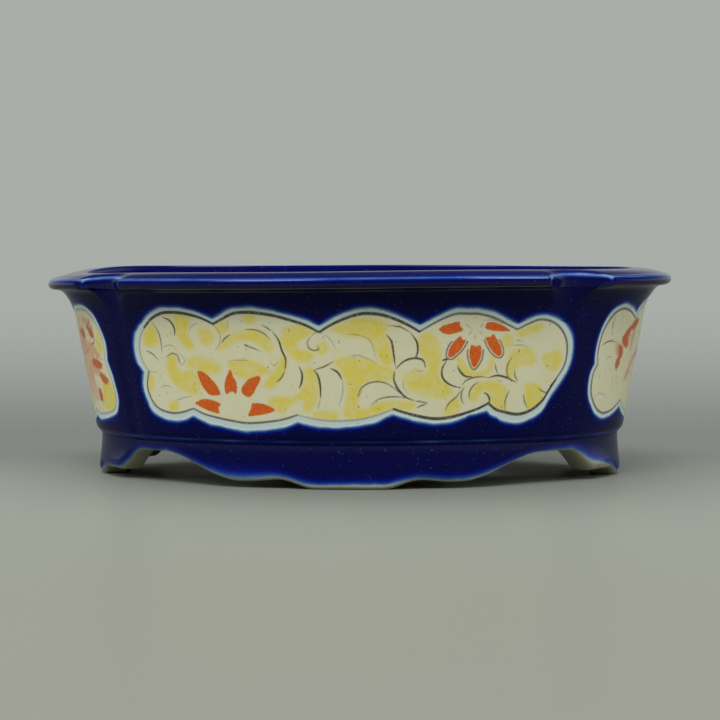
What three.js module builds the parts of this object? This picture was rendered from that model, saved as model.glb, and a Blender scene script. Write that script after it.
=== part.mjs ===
// Oval bonsai pot: a leaning wall, a lip with a notch at each corner, foot strips cut into four
// feet, and a drained floor. Millimetres, +Z up, +X along the pot's length, the front towards -Y.
// The origin is on the ground under the middle of the pot.
import * as THREE from 'three';

// Overall sizes
const rimLength = 139.5;
const rimWidth = 111;
const potHeight = 45.5;
const footInset = 11.8; // the foot strips' outer face inside the rim, alike all round

// Wall
const wallThickness = 4;
const bodyStep = 0.9; // how far the body's bottom corner stands out over the foot strips
const bodyCornerRadius = 1.2;
const flareHeight = 5.6; // the wall's last stretch, which curls outwards under the lip
const flareReach = 1.9;

// Lip
const lipOverhang = 2.8; // nose of the lip beyond the top of the wall
const lipHeight = 3.4; // from the wall's top to the ridge along the rim's inner edge
const noseThickness = 2.5;
const noseDepth = 1.5; // of the nose's half-round, from its front to where the lip is full
const ridgeWidth = 1.3;
const ridgeRounding = 0.5;

// Notches in the lip: the left pair lies nearer its end and is narrower, as cut by hand. Angles go
// round the oval from the middle of the front or the back.
const leftNotch = { angle: 52.7, chord: 13.7 };
const rightNotch = { angle: 44.5, chord: 17 };
const notchHornRounding = 1; // width over which the nose and the notch's face run together
const notchEdgeRounding = 0.5; // at the top of the notch's face
const notchedNoseRise = 0.5; // the lip's edge at the bottom of a notch, above the nose elsewhere

// Foot strips
const footHeight = 9.1;
const footThickness = 5;
const footSplay = 0.9; // how far the feet lean out at the ground
const cuspHeight = 1.9;
const archHeight = 7;

// The feet's lower edges: distances along the strip from the middle of a foot, at which its flat pad
// ends, its cusp and its lobe lie, and the flank of the arch starts and ends
const longFoot = { pad: 8.8, cusp: 14.3, lobe: 21.5, lobeHeight: 1.4, flankStart: 21.8, flankEnd: 41.8 };
const endFoot = { pad: 6.2, cusp: 10, lobe: 15, lobeHeight: 2, flankStart: 20, flankEnd: 29.5 };

// Floor
const floorThickness = 4.4;
const drainDiameter = 13;
const drainSpacing = 46;
const wireHoleDiameter = 3;
const wireHoleSpacingX = 22;
const wireHoleSpacingY = 40;
const coilRadius = 3;

// Clearance where one piece lies beside another, which the slip of the luted seam fills
const seam = 0.3;

// Fineness of the curves, in degrees round the oval and in points round a hole
const coarseStep = 5;
const wallNotchStep = 2.5;
const lipNotchStep = 0.9;
const nosePoints = 7;
const footStep = 3;
const drainPoints = 24;
const wireHolePoints = 10;

const wallBottom = footHeight;
const wallTop = potHeight - lipHeight;
const floorTop = wallBottom + floorThickness;
const flareStart = wallTop - flareHeight;
const notchDepth = lipOverhang + flareReach;
const lipInner = -(notchDepth + wallThickness); // from the nose to the rim's inner edge
const quarter = 90;

// Half-sizes of an oval, as [along X, along Y]
const rimOval = [rimLength / 2, rimWidth / 2];
const footOval = rimOval.map((half) => half - footInset);

const glaze = { color: 0x10144f, roughness: 0.15, metalness: 0 };
const bareClay = { color: 0xc9c4ae, roughness: 0.85, metalness: 0 };

// 0 up to the start, 1 from the end on, with an eased step between them
function ease(value, start, end) {
  return THREE.MathUtils.smoothstep(value, start, end);
}

// Point of an oval at an angle from the middle of the front, counted towards +X, and moved out along
// the oval's normal there
function ovalPoint(oval, angle, outward = 0) {
  const sine = Math.sin(THREE.MathUtils.degToRad(angle));
  const cosine = Math.cos(THREE.MathUtils.degToRad(angle));
  const normal = new THREE.Vector2(oval[1] * sine, -oval[0] * cosine).normalize();
  return new THREE.Vector2(oval[0] * sine, -oval[1] * cosine).addScaledVector(normal, outward);
}

// Length along the oval between two angles, with the sign of the turn
function ovalArc(oval, from, to) {
  const pieces = 90;
  let length = 0;
  let last = ovalPoint(oval, from);
  for (let i = 1; i <= pieces; i += 1) {
    const next = ovalPoint(oval, from + ((to - from) * i) / pieces);
    length += next.distanceTo(last);
    last = next;
  }
  return length * Math.sign(to - from);
}

// Angle that lies a length along the oval from another one
function angleAt(oval, from, length) {
  let angle = from;
  for (let round = 0; round < 6; round += 1) {
    const perDegree = ovalArc(oval, angle - 0.5, angle + 0.5);
    angle += (length - ovalArc(oval, from, angle)) / perDegree;
  }
  return angle;
}

// The four notches, at their angles in a full turn
const notches = [
  { angle: rightNotch.angle, chord: rightNotch.chord },
  { angle: 2 * quarter - rightNotch.angle, chord: rightNotch.chord },
  { angle: 2 * quarter + leftNotch.angle, chord: leftNotch.chord },
  { angle: 4 * quarter - leftNotch.angle, chord: leftNotch.chord },
];

// Outward place of the notches' upright faces, counted from the nose: a round bite that is deepest
// in the middle of a notch. Between the notches it lies clear of the nose.
function notchFace(angle) {
  let face = notchDepth;
  for (const notch of notches) {
    const turn = THREE.MathUtils.euclideanModulo(angle - notch.angle + 2 * quarter, 4 * quarter);
    const along = ovalArc(rimOval, notch.angle, notch.angle + turn - 2 * quarter);
    const radius = ((notch.chord / 2) ** 2 + notchDepth ** 2) / (2 * notchDepth);
    if (Math.abs(along) < radius) {
      const bite = Math.sqrt(radius ** 2 - along ** 2) - (radius - notchDepth);
      face = Math.min(face, -bite);
    }
  }
  return face;
}

// The lesser of two values, rounded where they are nearly alike
function roundedMin(a, b, rounding) {
  const overlap = Math.max(rounding - Math.abs(a - b), 0);
  return Math.min(a, b) - overlap ** 2 / (4 * rounding);
}

// Angles from one to another at every step, with the extra ones that fall between them
function stations(from, to, step, extra = []) {
  const marks = [from, to];
  for (let k = Math.ceil(from / step); k * step < to; k += 1) {
    marks.push(k * step);
  }
  marks.push(...extra.filter((angle) => angle > from && angle < to));
  marks.sort((a, b) => a - b);
  const least = 0.2;
  return marks.filter((angle, i) => i === 0 || angle - marks[i - 1] > least);
}

// Angles spread over every notch, on the turns before and after too
function notchAngles(step) {
  const angles = [];
  for (const notch of notches) {
    const reach = angleAt(rimOval, notch.angle, notch.chord / 2) - notch.angle;
    const count = Math.ceil(reach / step) + 1;
    for (let k = -count; k <= count; k += 1) {
      angles.push(notch.angle + k * step, notch.angle + k * step - 4 * quarter);
    }
  }
  return angles;
}

// Closed solid through a row of sections, each a loop of points with the same count. A ring joins its
// last section to its first, and a strip, whose sections bulge outwards all round, gets end faces.
function loft(sections, ring) {
  const count = sections[0].length;
  const positions = sections.flat().flatMap((point) => [point.x, point.y, point.z]);
  const index = [];
  const spans = ring ? sections.length : sections.length - 1;
  for (let i = 0; i < spans; i += 1) {
    const here = i * count;
    const next = ((i + 1) % sections.length) * count;
    for (let j = 0; j < count; j += 1) {
      const k = (j + 1) % count;
      index.push(here + j, next + j, next + k, here + j, next + k, here + k);
    }
  }
  const last = (sections.length - 1) * count;
  for (let j = 1; !ring && j < count - 1; j += 1) {
    index.push(0, j, j + 1, last, last + j + 1, last + j);
  }
  const geometry = new THREE.BufferGeometry();
  geometry.setAttribute('position', new THREE.Float32BufferAttribute(positions, 3));
  geometry.setIndex(index);
  geometry.computeVertexNormals();
  return geometry;
}

// Strip round an oval: its outline at each angle is a loop of [outward, height] pairs
function strip(oval, angles, outlineAt) {
  const sections = angles.map((angle) => outlineAt(angle).map(([outward, height]) => {
    const point = ovalPoint(oval, angle, outward);
    return new THREE.Vector3(point.x, point.y, height);
  }));
  return loft(sections, false);
}

// Oval of the wall's outer face at a height, without the flare under the lip. The wall leans from
// the foot strips out to the lip.
function wallOval(height) {
  const share = (height - wallBottom) / (wallTop - wallBottom);
  return footOval.map((half, i) => {
    const bottom = half + bodyStep;
    const top = rimOval[i] - notchDepth;
    return bottom + (top - bottom) * share;
  });
}

// The wall at one angle: up the outer face from the bottom corner to the lip, and down the inner
// face, which is upright beside the floor. The notches' faces cut its flare too.
function wallSection(angle) {
  const flareRoom = notchDepth + notchFace(angle);
  const point = (height, outward, ovalHeight = height) => {
    const place = ovalPoint(wallOval(ovalHeight), angle, outward);
    return new THREE.Vector3(place.x, place.y, height);
  };
  const cornerTop = wallBottom + bodyCornerRadius;
  const cornerCut = bodyCornerRadius * (1 - Math.SQRT1_2);
  const outer = [
    point(wallBottom, -bodyCornerRadius),
    point(wallBottom + cornerCut, -cornerCut),
    point(cornerTop, 0),
    point((cornerTop + flareStart) / 2, 0),
    point(flareStart, 0),
  ];
  const flarePoints = 4;
  for (let i = 1; i <= flarePoints; i += 1) {
    const share = i / flarePoints;
    outer.push(point(flareStart + flareHeight * share, Math.min(flareReach * share ** 2, flareRoom)));
  }
  return [
    ...outer,
    point(wallTop, -wallThickness),
    point(floorTop, -wallThickness),
    point(wallBottom, -wallThickness, floorTop),
  ];
}

function bodyWall() {
  const angles = stations(0, 4 * quarter, coarseStep, notchAngles(wallNotchStep));
  return loft(angles.slice(0, -1).map(wallSection), true);
}

// Outline of the lip, from the inner bottom edge round the nose and back over the ridge, outward from
// the nose's oval. In a notch the upright face cuts the nose off.
function lipOutline(angle) {
  const face = notchFace(angle);
  const share = Math.max(-face / notchDepth, 0);
  const thickness = noseThickness + notchedNoseRise * share;
  const nose = Array.from({ length: nosePoints }, (_, i) => {
    const turn = Math.PI * (i / (nosePoints - 1) - 0.5);
    const back = 1 - Math.cos(turn);
    const edge = turn > 0 ? notchEdgeRounding * back : 0;
    const outward = roundedMin(-noseDepth * back, face - edge, notchHornRounding);
    return [outward, wallTop + (thickness * (1 + Math.sin(turn))) / 2];
  });
  return [
    [lipInner, wallTop],
    ...nose,
    [lipInner + ridgeRounding + ridgeWidth, potHeight],
    [lipInner + ridgeRounding, potHeight],
    [lipInner, potHeight - ridgeRounding],
  ];
}

// Lip strip from the bottom of one notch to the bottom of the next
function lip(from, to) {
  const start = angleAt(rimOval, from, seam / 2);
  const end = angleAt(rimOval, to, -seam / 2);
  return strip(rimOval, stations(start, end, coarseStep, notchAngles(lipNotchStep)), lipOutline);
}

// Foot strip a quarter of the way round, centred on an angle. Its lower edge has a flat pad, a
// small cusp, a lobe, and the flank of the arch on each side.
function foot(middle, shape) {
  const reach = ovalArc(footOval, middle, middle + quarter / 2);
  const keys = [shape.pad, shape.cusp, shape.lobe, shape.flankStart, shape.flankEnd];
  const ends = [-1, 1].map((side) => angleAt(footOval, middle, side * (reach - seam / 2)));
  const extra = keys.flatMap((key) => [-key, key]).map((key) => angleAt(footOval, middle, key));
  const outlineAt = (angle) => {
    const distance = Math.abs(ovalArc(footOval, middle, angle));
    const cusp = cuspHeight * ease(distance, shape.pad, shape.cusp);
    const lobe = (shape.lobeHeight - cuspHeight) * ease(distance, shape.cusp, shape.lobe);
    const flank = ease(distance, shape.flankStart, shape.flankEnd);
    const bottom = cusp + lobe + (archHeight - shape.lobeHeight) * flank;
    return [
      [-footThickness, bottom],
      [footSplay * (1 - bottom / footHeight), bottom],
      [0, footHeight],
      [-footThickness, footHeight],
    ];
  };
  return strip(footOval, stations(ends[0], ends[1], footStep, extra), outlineAt);
}

function holeLoop(diameter, x, y, count) {
  const oval = [diameter / 2, diameter / 2];
  const centre = new THREE.Vector2(x, y);
  return Array.from({ length: count }, (_, i) => ovalPoint(oval, (4 * quarter * i) / count).add(centre));
}

// Floor between the walls, with drainage holes and the holes for the wires that hold a tree
function floorSlab() {
  const edge = stations(0, 4 * quarter, coarseStep).slice(0, -1);
  const inset = -(wallThickness + seam);
  const shape = new THREE.Shape(edge.map((angle) => ovalPoint(wallOval(floorTop), angle, inset)));
  for (const side of [-0.5, 0.5]) {
    shape.holes.push(new THREE.Path(holeLoop(drainDiameter, side * drainSpacing, 0, drainPoints)));
    for (const across of [-0.5, 0.5]) {
      const x = side * wireHoleSpacingX;
      const y = across * wireHoleSpacingY;
      shape.holes.push(new THREE.Path(holeLoop(wireHoleDiameter, x, y, wireHolePoints)));
    }
  }
  const geometry = new THREE.ExtrudeGeometry(shape, { depth: floorThickness, bevelEnabled: false });
  return geometry.translate(0, 0, wallBottom);
}

// Coil pressed into the corner between floor and wall, with a hollow face
function insideCoil() {
  const angles = stations(0, 4 * quarter, coarseStep).slice(0, -1);
  const inset = -(wallThickness + seam);
  return loft(angles.map((angle) => {
    const point = (height, outward) => {
      const place = ovalPoint(wallOval(height), angle, outward);
      return new THREE.Vector3(place.x, place.y, height);
    };
    const hollow = coilRadius * (1 - Math.SQRT1_2);
    return [
      point(floorTop, inset),
      point(floorTop + coilRadius, inset),
      point(floorTop + hollow, inset - hollow),
      point(floorTop, inset - coilRadius),
    ];
  }), true);
}

const pot = new THREE.Group();

function addPiece(name, geometry, finish) {
  const mesh = new THREE.Mesh(geometry, new THREE.MeshStandardMaterial(finish));
  mesh.name = name;
  pot.add(mesh);
}

addPiece('body_wall', bodyWall(), glaze);
addPiece('front_lip', lip(-leftNotch.angle, rightNotch.angle), glaze);
addPiece('right_lip', lip(rightNotch.angle, 2 * quarter - rightNotch.angle), glaze);
addPiece('back_lip', lip(2 * quarter - rightNotch.angle, 2 * quarter + leftNotch.angle), glaze);
addPiece('left_lip', lip(2 * quarter + leftNotch.angle, 4 * quarter - leftNotch.angle), glaze);
addPiece('front_foot', foot(0, longFoot), glaze);
addPiece('right_foot', foot(quarter, endFoot), glaze);
addPiece('back_foot', foot(2 * quarter, longFoot), glaze);
addPiece('left_foot', foot(3 * quarter, endFoot), glaze);
addPiece('floor_slab', floorSlab(), bareClay);
addPiece('inside_coil', insideCoil(), bareClay);

export default pot;
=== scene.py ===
"""Looks of the oval bonsai pot: blue glaze over a leaning wall, a notched lip and four feet, white
panels painted with scrolls and flowers, and bare clay below and inside. It stands on a pale floor
under soft light. Lengths are millimetres and angles degrees until a mesh is made."""

import math

import bpy
import numpy as np
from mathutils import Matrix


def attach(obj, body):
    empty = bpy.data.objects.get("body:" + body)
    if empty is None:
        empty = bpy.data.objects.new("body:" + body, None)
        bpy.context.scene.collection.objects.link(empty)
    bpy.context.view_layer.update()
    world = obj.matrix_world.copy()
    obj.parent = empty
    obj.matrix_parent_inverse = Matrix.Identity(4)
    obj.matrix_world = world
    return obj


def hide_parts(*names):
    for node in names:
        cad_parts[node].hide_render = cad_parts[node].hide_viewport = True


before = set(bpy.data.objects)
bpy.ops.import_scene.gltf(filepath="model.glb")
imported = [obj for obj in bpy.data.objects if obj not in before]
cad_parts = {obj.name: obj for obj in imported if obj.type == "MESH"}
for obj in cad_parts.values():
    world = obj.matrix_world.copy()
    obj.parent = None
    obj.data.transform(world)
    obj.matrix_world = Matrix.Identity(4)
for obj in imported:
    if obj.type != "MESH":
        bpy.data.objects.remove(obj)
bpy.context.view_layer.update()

MM = 0.001

# Sizes that the part's source has too
POT_HEIGHT = 45.5
RIM_OVAL = np.array([69.75, 55.5])  # half-sizes along X and Y
FOOT_OVAL = RIM_OVAL - 11.8
WALL_THICKNESS = 4
BODY_STEP = 0.9
FLARE_HEIGHT = 5.6
FLARE_REACH = 1.9
LIP_OVERHANG = 2.8
LIP_HEIGHT = 3.4
NOSE_THICKNESS = 2.5
NOSE_DEPTH = 1.5
RIDGE_WIDTH = 1.3
RIDGE_ROUNDING = 0.5
LEFT_NOTCH_ANGLE = 52.7
LEFT_NOTCH_CHORD = 13.7
RIGHT_NOTCH_ANGLE = 44.5
RIGHT_NOTCH_CHORD = 17
NOTCH_EDGE_ROUNDING = 0.5
NOTCHED_NOSE_RISE = 0.5
FOOT_HEIGHT = 9.1
FOOT_THICKNESS = 5
CUSP_HEIGHT = 1.9
ARCH_HEIGHT = 7
# Distances from the middle of a foot, and the height of its lobes
LONG_FOOT = {"pad": 7, "cusp": 15, "lobe": 21.8, "lobe_height": 1.4, "flank": (23.6, 43.6)}
END_FOOT = {"pad": 6.2, "cusp": 10, "lobe": 15, "lobe_height": 2, "flank": (20, 29.5)}
FLOOR_THICKNESS = 4.4
DRAIN_DIAMETER = 13
DRAIN_SPACING = 46
WIRE_HOLE_DIAMETER = 3
WIRE_HOLE_SPACING = (22, 40)
COIL_RADIUS = 3
SEAM = 0.3

WALL_BOTTOM = FOOT_HEIGHT
WALL_TOP = POT_HEIGHT - LIP_HEIGHT
FLOOR_TOP = WALL_BOTTOM + FLOOR_THICKNESS
FLARE_START = WALL_TOP - FLARE_HEIGHT
NOTCH_DEPTH = LIP_OVERHANG + FLARE_REACH
LIP_INNER = -(NOTCH_DEPTH + WALL_THICKNESS)

# Sizes that only the finish has
CORNER_HEIGHT = 2  # of the glazed step from the foot out to the body
CORNER_EDGE = 0.9  # height of the step's edge, where the glaze has run thin and a painted highlight lies
LIP_FILLET = 0.7  # reach of the glaze that fills the corner under the lip
FILLET_HEIGHT = 1.1
FLARE_ROUNDING = 0.8  # where a notch cuts into the flare
PAINT_RELIEF = 0.16  # how far the blue glaze stands over the panels
PAINT_HEIGHT = 26.5  # the painting's lengths are true at this height of the wall
DRAWN_BOTTOM = 8.6  # the wall's bottom in the heights that the painting is written in
RIDGE_LIFT = 0.2  # glaze over the ridge along the lip's inner edge
RIDGE_MIDDLE = 0.9  # its distance from the lip's inner face
LIP_HOLLOW = 1.7  # how strongly the lip's top sinks between nose and ridge, 1 for straight
NOTCH_RUNOUT = 2  # how steeply a notch's face goes on past the nose, for the rounding
LEFT_HORN_ROUNDING = 5  # of the lip's corners beside the two left notches
RIGHT_HORN_ROUNDING = 1.6  # and beside the two right ones
FOOT_FLARE = 0.9  # how far the hollow face of a foot would lean out at the ground
FRONT_FOOT_ASIDE = -0.5  # how far off the middle the front foot's edge was cut

# Depths of the blue glaze
DEEP_GLAZE = 3
CORNER_GLAZE_AND_HIGHLIGHT = 0.4  # on the edge of the step from foot to body, partly a painted highlight
LIP_GLAZE = 1.5  # on top of the lip
NOSE_GLAZE = 0.85  # how much deeper it is low on the nose
LIP_EDGE_GLAZE_AND_HIGHLIGHT = 0.42  # along the nose's upper curve, where it has run off; its pale blue is partly a painted highlight
NOTCH_GLAZE_AND_HIGHLIGHT = 0.3  # the same in a notch, and the least on the lip; also partly a painted highlight
HORN_THINNING_AND_HIGHLIGHT = 1.1  # how much it has run off where the nose turns into a notch, partly a painted highlight
RIDGE_GLAZE = 0.9  # along the ridge
FOOT_TOP_GLAZE = 2.2
FOOT_GLAZE = {0: 0, 0.3: 0.35, 0.55: 0.62, 0.9: 0.95, 1.4: 1.4, 2.3: 2.2}  # by height over its edge
INNER_GLAZE_REACH = 6  # how far it runs down inside
INNER_GLAZE_WAVE = 0.9  # how uneven its lower edge is there
INNER_GLAZE_SLOPE = 0.6
FOOT_BARE = 0.4  # how high the clay is bare over a foot's lower edge
PAD_BARE = 0.4  # how much higher on the pad
FLANK_GLAZED = 0.3  # and how much lower up the flanks
FOOT_BARE_WAVE = 0.1

FINE = 0.25  # between the points of what the photograph shows best
COARSE = 0.36
SHARP_ANGLE = 50  # edges that bend more than this are shaded sharp

FRONT, RIGHT, BACK, LEFT = 0, 90, 180, 270


# Ovals


def oval_point(half, angle, outward=0.0):
    """Points of an oval, counted from the middle of the front towards +X, moved out along it."""
    half = np.asarray(half, float)
    sine, cosine = np.sin(np.radians(angle)), np.cos(np.radians(angle))
    normal = np.stack([half[..., 1] * sine, -half[..., 0] * cosine], -1)
    normal /= np.linalg.norm(normal, axis=-1, keepdims=True)
    place = np.stack([half[..., 0] * sine, -half[..., 1] * cosine], -1)
    return place + normal * np.asarray(outward)[..., None]


TURNS = np.linspace(-360, 720, 21601)


def arcs(half):
    """Length along an oval from the middle of the front to each of TURNS."""
    steps = np.linalg.norm(np.diff(oval_point(half, TURNS), axis=0), axis=1)
    lengths = np.concatenate([[0], np.cumsum(steps)])
    return lengths - np.interp(0, TURNS, lengths)


def arc_at(half, angle):
    return np.interp(angle, TURNS, arcs(half))


def angle_at(half, arc):
    return np.interp(arc, arcs(half), TURNS)


def ease(value, start, end):
    """0 up to the start, 1 from the end on and smooth between; the start may be the higher."""
    share = np.clip((value - start) / (end - start), 0, 1)
    return share * share * (3 - 2 * share)


def close_to(distance, width):
    """1 at no distance, sinking to nothing over about twice the width."""
    return np.exp(-((distance / width) ** 2))


def wall_oval(height):
    """Half-sizes of the wall's outer face at a height, without the flare under the lip."""
    share = (np.asarray(height, float) - WALL_BOTTOM) / (WALL_TOP - WALL_BOTTOM)
    bottom, top = FOOT_OVAL + BODY_STEP, RIM_OVAL - NOTCH_DEPTH
    return bottom + (top - bottom) * share[..., None]


NOTCHES = {
    RIGHT_NOTCH_ANGLE: RIGHT_NOTCH_CHORD,
    BACK - RIGHT_NOTCH_ANGLE: RIGHT_NOTCH_CHORD,
    BACK + LEFT_NOTCH_ANGLE: LEFT_NOTCH_CHORD,
    360 - LEFT_NOTCH_ANGLE: LEFT_NOTCH_CHORD,
}


def notch_face(angle):
    """Outward place of the notches' upright faces, counted from the nose, at an angle. Between the
    notches it lies clear of the nose."""
    face = np.full(np.shape(angle), NOTCH_DEPTH)
    lengths = arcs(RIM_OVAL)
    for middle, chord in NOTCHES.items():
        turn = (angle - middle + 180) % 360 - 180
        ends = np.interp(middle + turn, TURNS, lengths)
        along = ends - np.interp(middle, TURNS, lengths)
        radius = ((chord / 2) ** 2 + NOTCH_DEPTH**2) / (2 * NOTCH_DEPTH)
        bite = np.sqrt(np.maximum(radius**2 - along**2, 0)) - (radius - NOTCH_DEPTH)
        beyond = NOTCH_RUNOUT * np.maximum(np.abs(along) - radius, 0)
        face = np.minimum(face, beyond - bite)
    return face


def rounded_min(first, second, rounding):
    """The lesser of two values, rounded where they are nearly alike."""
    overlap = np.maximum(rounding - np.abs(first - second), 0)
    return np.minimum(first, second) - overlap**2 / (4 * rounding)


def ripple(seed, first, second=0):
    """Smooth unevenness between about -1 and 1 over one length or two, for what a hand has made."""
    draw = np.random.default_rng(seed)
    waves = (19, 11, 6.5, 4.1)
    total = 0
    for wave in waves:
        turn, phase = draw.uniform(0, 2 * math.pi, 2)
        along = first * math.cos(turn) + second * math.sin(turn)
        total = total + np.sin(2 * math.pi * along / wave + phase) * (wave / waves[0]) ** 0.5
    usual_height = 2.2
    return total / usual_height


def fired(points):
    """The shape as it came out of the kiln: the rim's right end a little high and its left end low,
    and the oval and the lip slightly uneven. Push and lift at the rim are millimetres."""
    x, y, z = np.moveaxis(points, -1, 0)
    around = np.arctan2(y / RIM_OVAL[1], x / RIM_OVAL[0])
    push = 0.14 * np.sin(3 * around + 0.4) + 0.08 * np.sin(7 * around + z / 14)
    swell = 1 + push / RIM_OVAL[0]
    end = x / RIM_OVAL[0]
    back = ease(y, -8, 25)
    lift = (1 - back) * (0.62 * end - 0.47 * end**2) + 0.3 * back + 0.07 * np.sin(5 * around + 1)
    return np.stack([x * swell, y * swell, z + lift * z / POT_HEIGHT], -1)


# Meshes


def placed(name, data):
    """New object of a mesh, a light or a camera, put in the scene."""
    thing = bpy.data.objects.new(name, data)
    bpy.context.scene.collection.objects.link(thing)
    return thing


def grid_piece(name, points, ring, layers=None):
    """Closed surface through rows of points that run round the section. A ring joins its last
    column to its first, and a strip gets two end faces. Layers are numbers for the material."""
    rows, columns = points.shape[:2]
    index = np.arange(rows * columns).reshape(rows, columns)
    across = np.concatenate([index, index[:, :1]], 1) if ring else index
    around = np.concatenate([across, across[:1]], 0)
    corners = [around[:-1, :-1], around[:-1, 1:], around[1:, 1:], around[1:, :-1]]
    faces = np.stack(corners, -1).reshape(-1, 4).tolist()
    if not ring:
        faces += [index[:, 0].tolist(), index[::-1, -1].tolist()]
    mesh = bpy.data.meshes.new(name)
    mesh.from_pydata((fired(points) * MM).reshape(-1, 3).tolist(), [], faces)
    for layer, values in (layers or {}).items():
        column = mesh.attributes.new(layer, "FLOAT", "POINT")
        column.data.foreach_set("value", np.broadcast_to(values, (rows, columns)).ravel())
    mesh.shade_smooth()
    mesh.set_sharp_from_angle(angle=math.radians(SHARP_ANGLE))
    return placed(name, mesh)


def swept(oval, angles, outward, height):
    """Points of a strip round an oval, from rows of outward distances and heights."""
    shape = np.broadcast_shapes(outward.shape, height.shape, (1, len(angles)))
    angle = np.broadcast_to(angles, shape)
    flat = oval_point(np.broadcast_to(oval, shape + (2,)), angle, np.broadcast_to(outward, shape))
    return np.concatenate([flat, np.broadcast_to(height, shape)[..., None]], -1)


def quarter_round(start, end, steps, level_first):
    """Quarter of an ellipse between two (outward, height) corners, without its first point. It
    leaves level or upright, and arrives the other way."""
    turn = np.linspace(0, math.pi / 2, steps + 1)[1:, None]
    rise, rest = np.sin(turn), 1 - np.cos(turn)
    outward_share, height_share = (rise, rest) if level_first else (rest, rise)
    outward = start[0] + (end[0] - start[0]) * outward_share
    height = start[1] + (end[1] - start[1]) * height_share
    return outward, height + 0 * outward


def straight(start, end, steps):
    """Points on a straight side between two (outward, height) corners, without its first point."""
    share = np.linspace(0, 1, steps + 1)[1:, None]
    outward = start[0] + (end[0] - start[0]) * share
    return outward, start[1] + (end[1] - start[1]) * share + 0 * outward


def section(*sides):
    """Rows of outward distances and of heights from sides one after another."""
    columns = max(side[0].shape[1] for side in sides)
    stacks = []
    for part in (0, 1):
        rows = [np.broadcast_to(side[part], (side[part].shape[0], columns)) for side in sides]
        stacks.append(np.concatenate(rows))
    return stacks


# Painting, in (length along the wall from the panel's middle, height) pairs

# Outline of the front panel, lobe by lobe
FRONT_LOBES = [
    [(-47.1, 24), (-48.5, 26.1), (-48.9, 28.5), (-48.3, 31), (-46.6, 33.4)],
    [(-46.6, 33.4), (-44.1, 35.4), (-41.1, 36.6), (-38.2, 36.8), (-35, 36.5), (-31.5, 35.6),
     (-28.9, 34.4)],
    [(-28.9, 34.4), (-26.9, 35.4), (-24.3, 36.6), (-21.4, 36.9), (-18.7, 36.7), (-15.2, 36.1),
     (-11.8, 35.1), (-9.2, 34.2), (-6.4, 32.7)],
    [(-6.4, 32.7), (-4.2, 34.1), (-1.2, 35.5), (1.8, 36.4), (4, 36.5), (6.6, 36.1), (9.6, 35),
     (12, 33.8), (14, 32.6)],
    [(14, 32.6), (16.5, 34.1), (18.8, 35.3), (21.4, 36.2), (24.2, 36.2), (26.5, 36.1), (29.9, 35.2),
     (32.5, 34), (35.1, 32.8)],
    [(35.1, 32.8), (37.7, 34), (40.3, 34.8), (43.2, 34.4), (45.9, 33), (47.8, 30.8), (48.6, 28.2),
     (48.4, 25), (46.6, 22)],
    [(46.6, 22), (45.1, 19.9), (43.5, 17.6), (40.8, 15.7), (37.6, 14.9), (34.3, 15.4), (31.9, 16.1),
     (30.1, 17.4)],
    [(30.1, 17.4), (27.5, 16.2), (24.2, 15.2), (20.9, 14.5), (17.6, 14.4), (14.3, 15), (11.6, 15.7),
     (9.1, 16.5)],
    [(9.1, 16.5), (5.7, 15.3), (2.1, 14.4), (-1.5, 14.1), (-5.1, 14.1), (-8.3, 14.5),
     (-11.6, 15.3)],
    [(-11.6, 15.3), (-14.9, 14.3), (-18.8, 13.7), (-23.1, 13.4), (-26.6, 13.8), (-30.2, 14.4),
     (-33.4, 15.1), (-36.1, 16.2)],
    [(-36.1, 16.2), (-39.3, 15.3), (-42.4, 15.1), (-45.8, 16), (-47.6, 18), (-48.2, 20.8),
     (-47.1, 24)],
]

# The near halves of the end panels' outlines; their far halves are taken to be alike
RIGHT_LOBES = [
    [(0, 38.4), (-7.5, 37.6), (-11.4, 36.2), (-13.3, 34.3)],
    [(-13.3, 34.3), (-15.9, 35.5), (-18.6, 36.4), (-21.4, 36.7), (-24.1, 35.9), (-26.1, 34.2),
     (-27.6, 31.8), (-28.2, 28.9), (-28.1, 26.7), (-27.6, 24.9)],
    [(-27.6, 24.9), (-28.6, 23.1), (-28.8, 21), (-28.4, 18.9), (-27, 16.8), (-24.8, 15),
     (-22.1, 14.1), (-18.6, 14.4), (-15.5, 15.4), (-13.1, 16.5)],
    [(-13.1, 16.5), (-10.1, 14.8), (-6, 13.7), (0, 13.4)],
]
LEFT_LOBES = [
    [(0, 35.4), (-6, 35.6), (-11.5, 36.9), (-17.6, 37.1), (-20.6, 36.1), (-22.6, 34.6), (-24, 32.6),
     (-24.8, 30.2), (-24.8, 27.8), (-24.3, 26.1)],
    [(-24.3, 26.1), (-25, 23.8), (-25.9, 21.4), (-26.4, 18.5), (-25.9, 16.3), (-24.4, 14.9),
     (-20.4, 14.1), (-15.4, 13.7), (-12, 14.6)],
    [(-12, 14.6), (-8, 13.4), (0, 13.2)],
]

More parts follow.
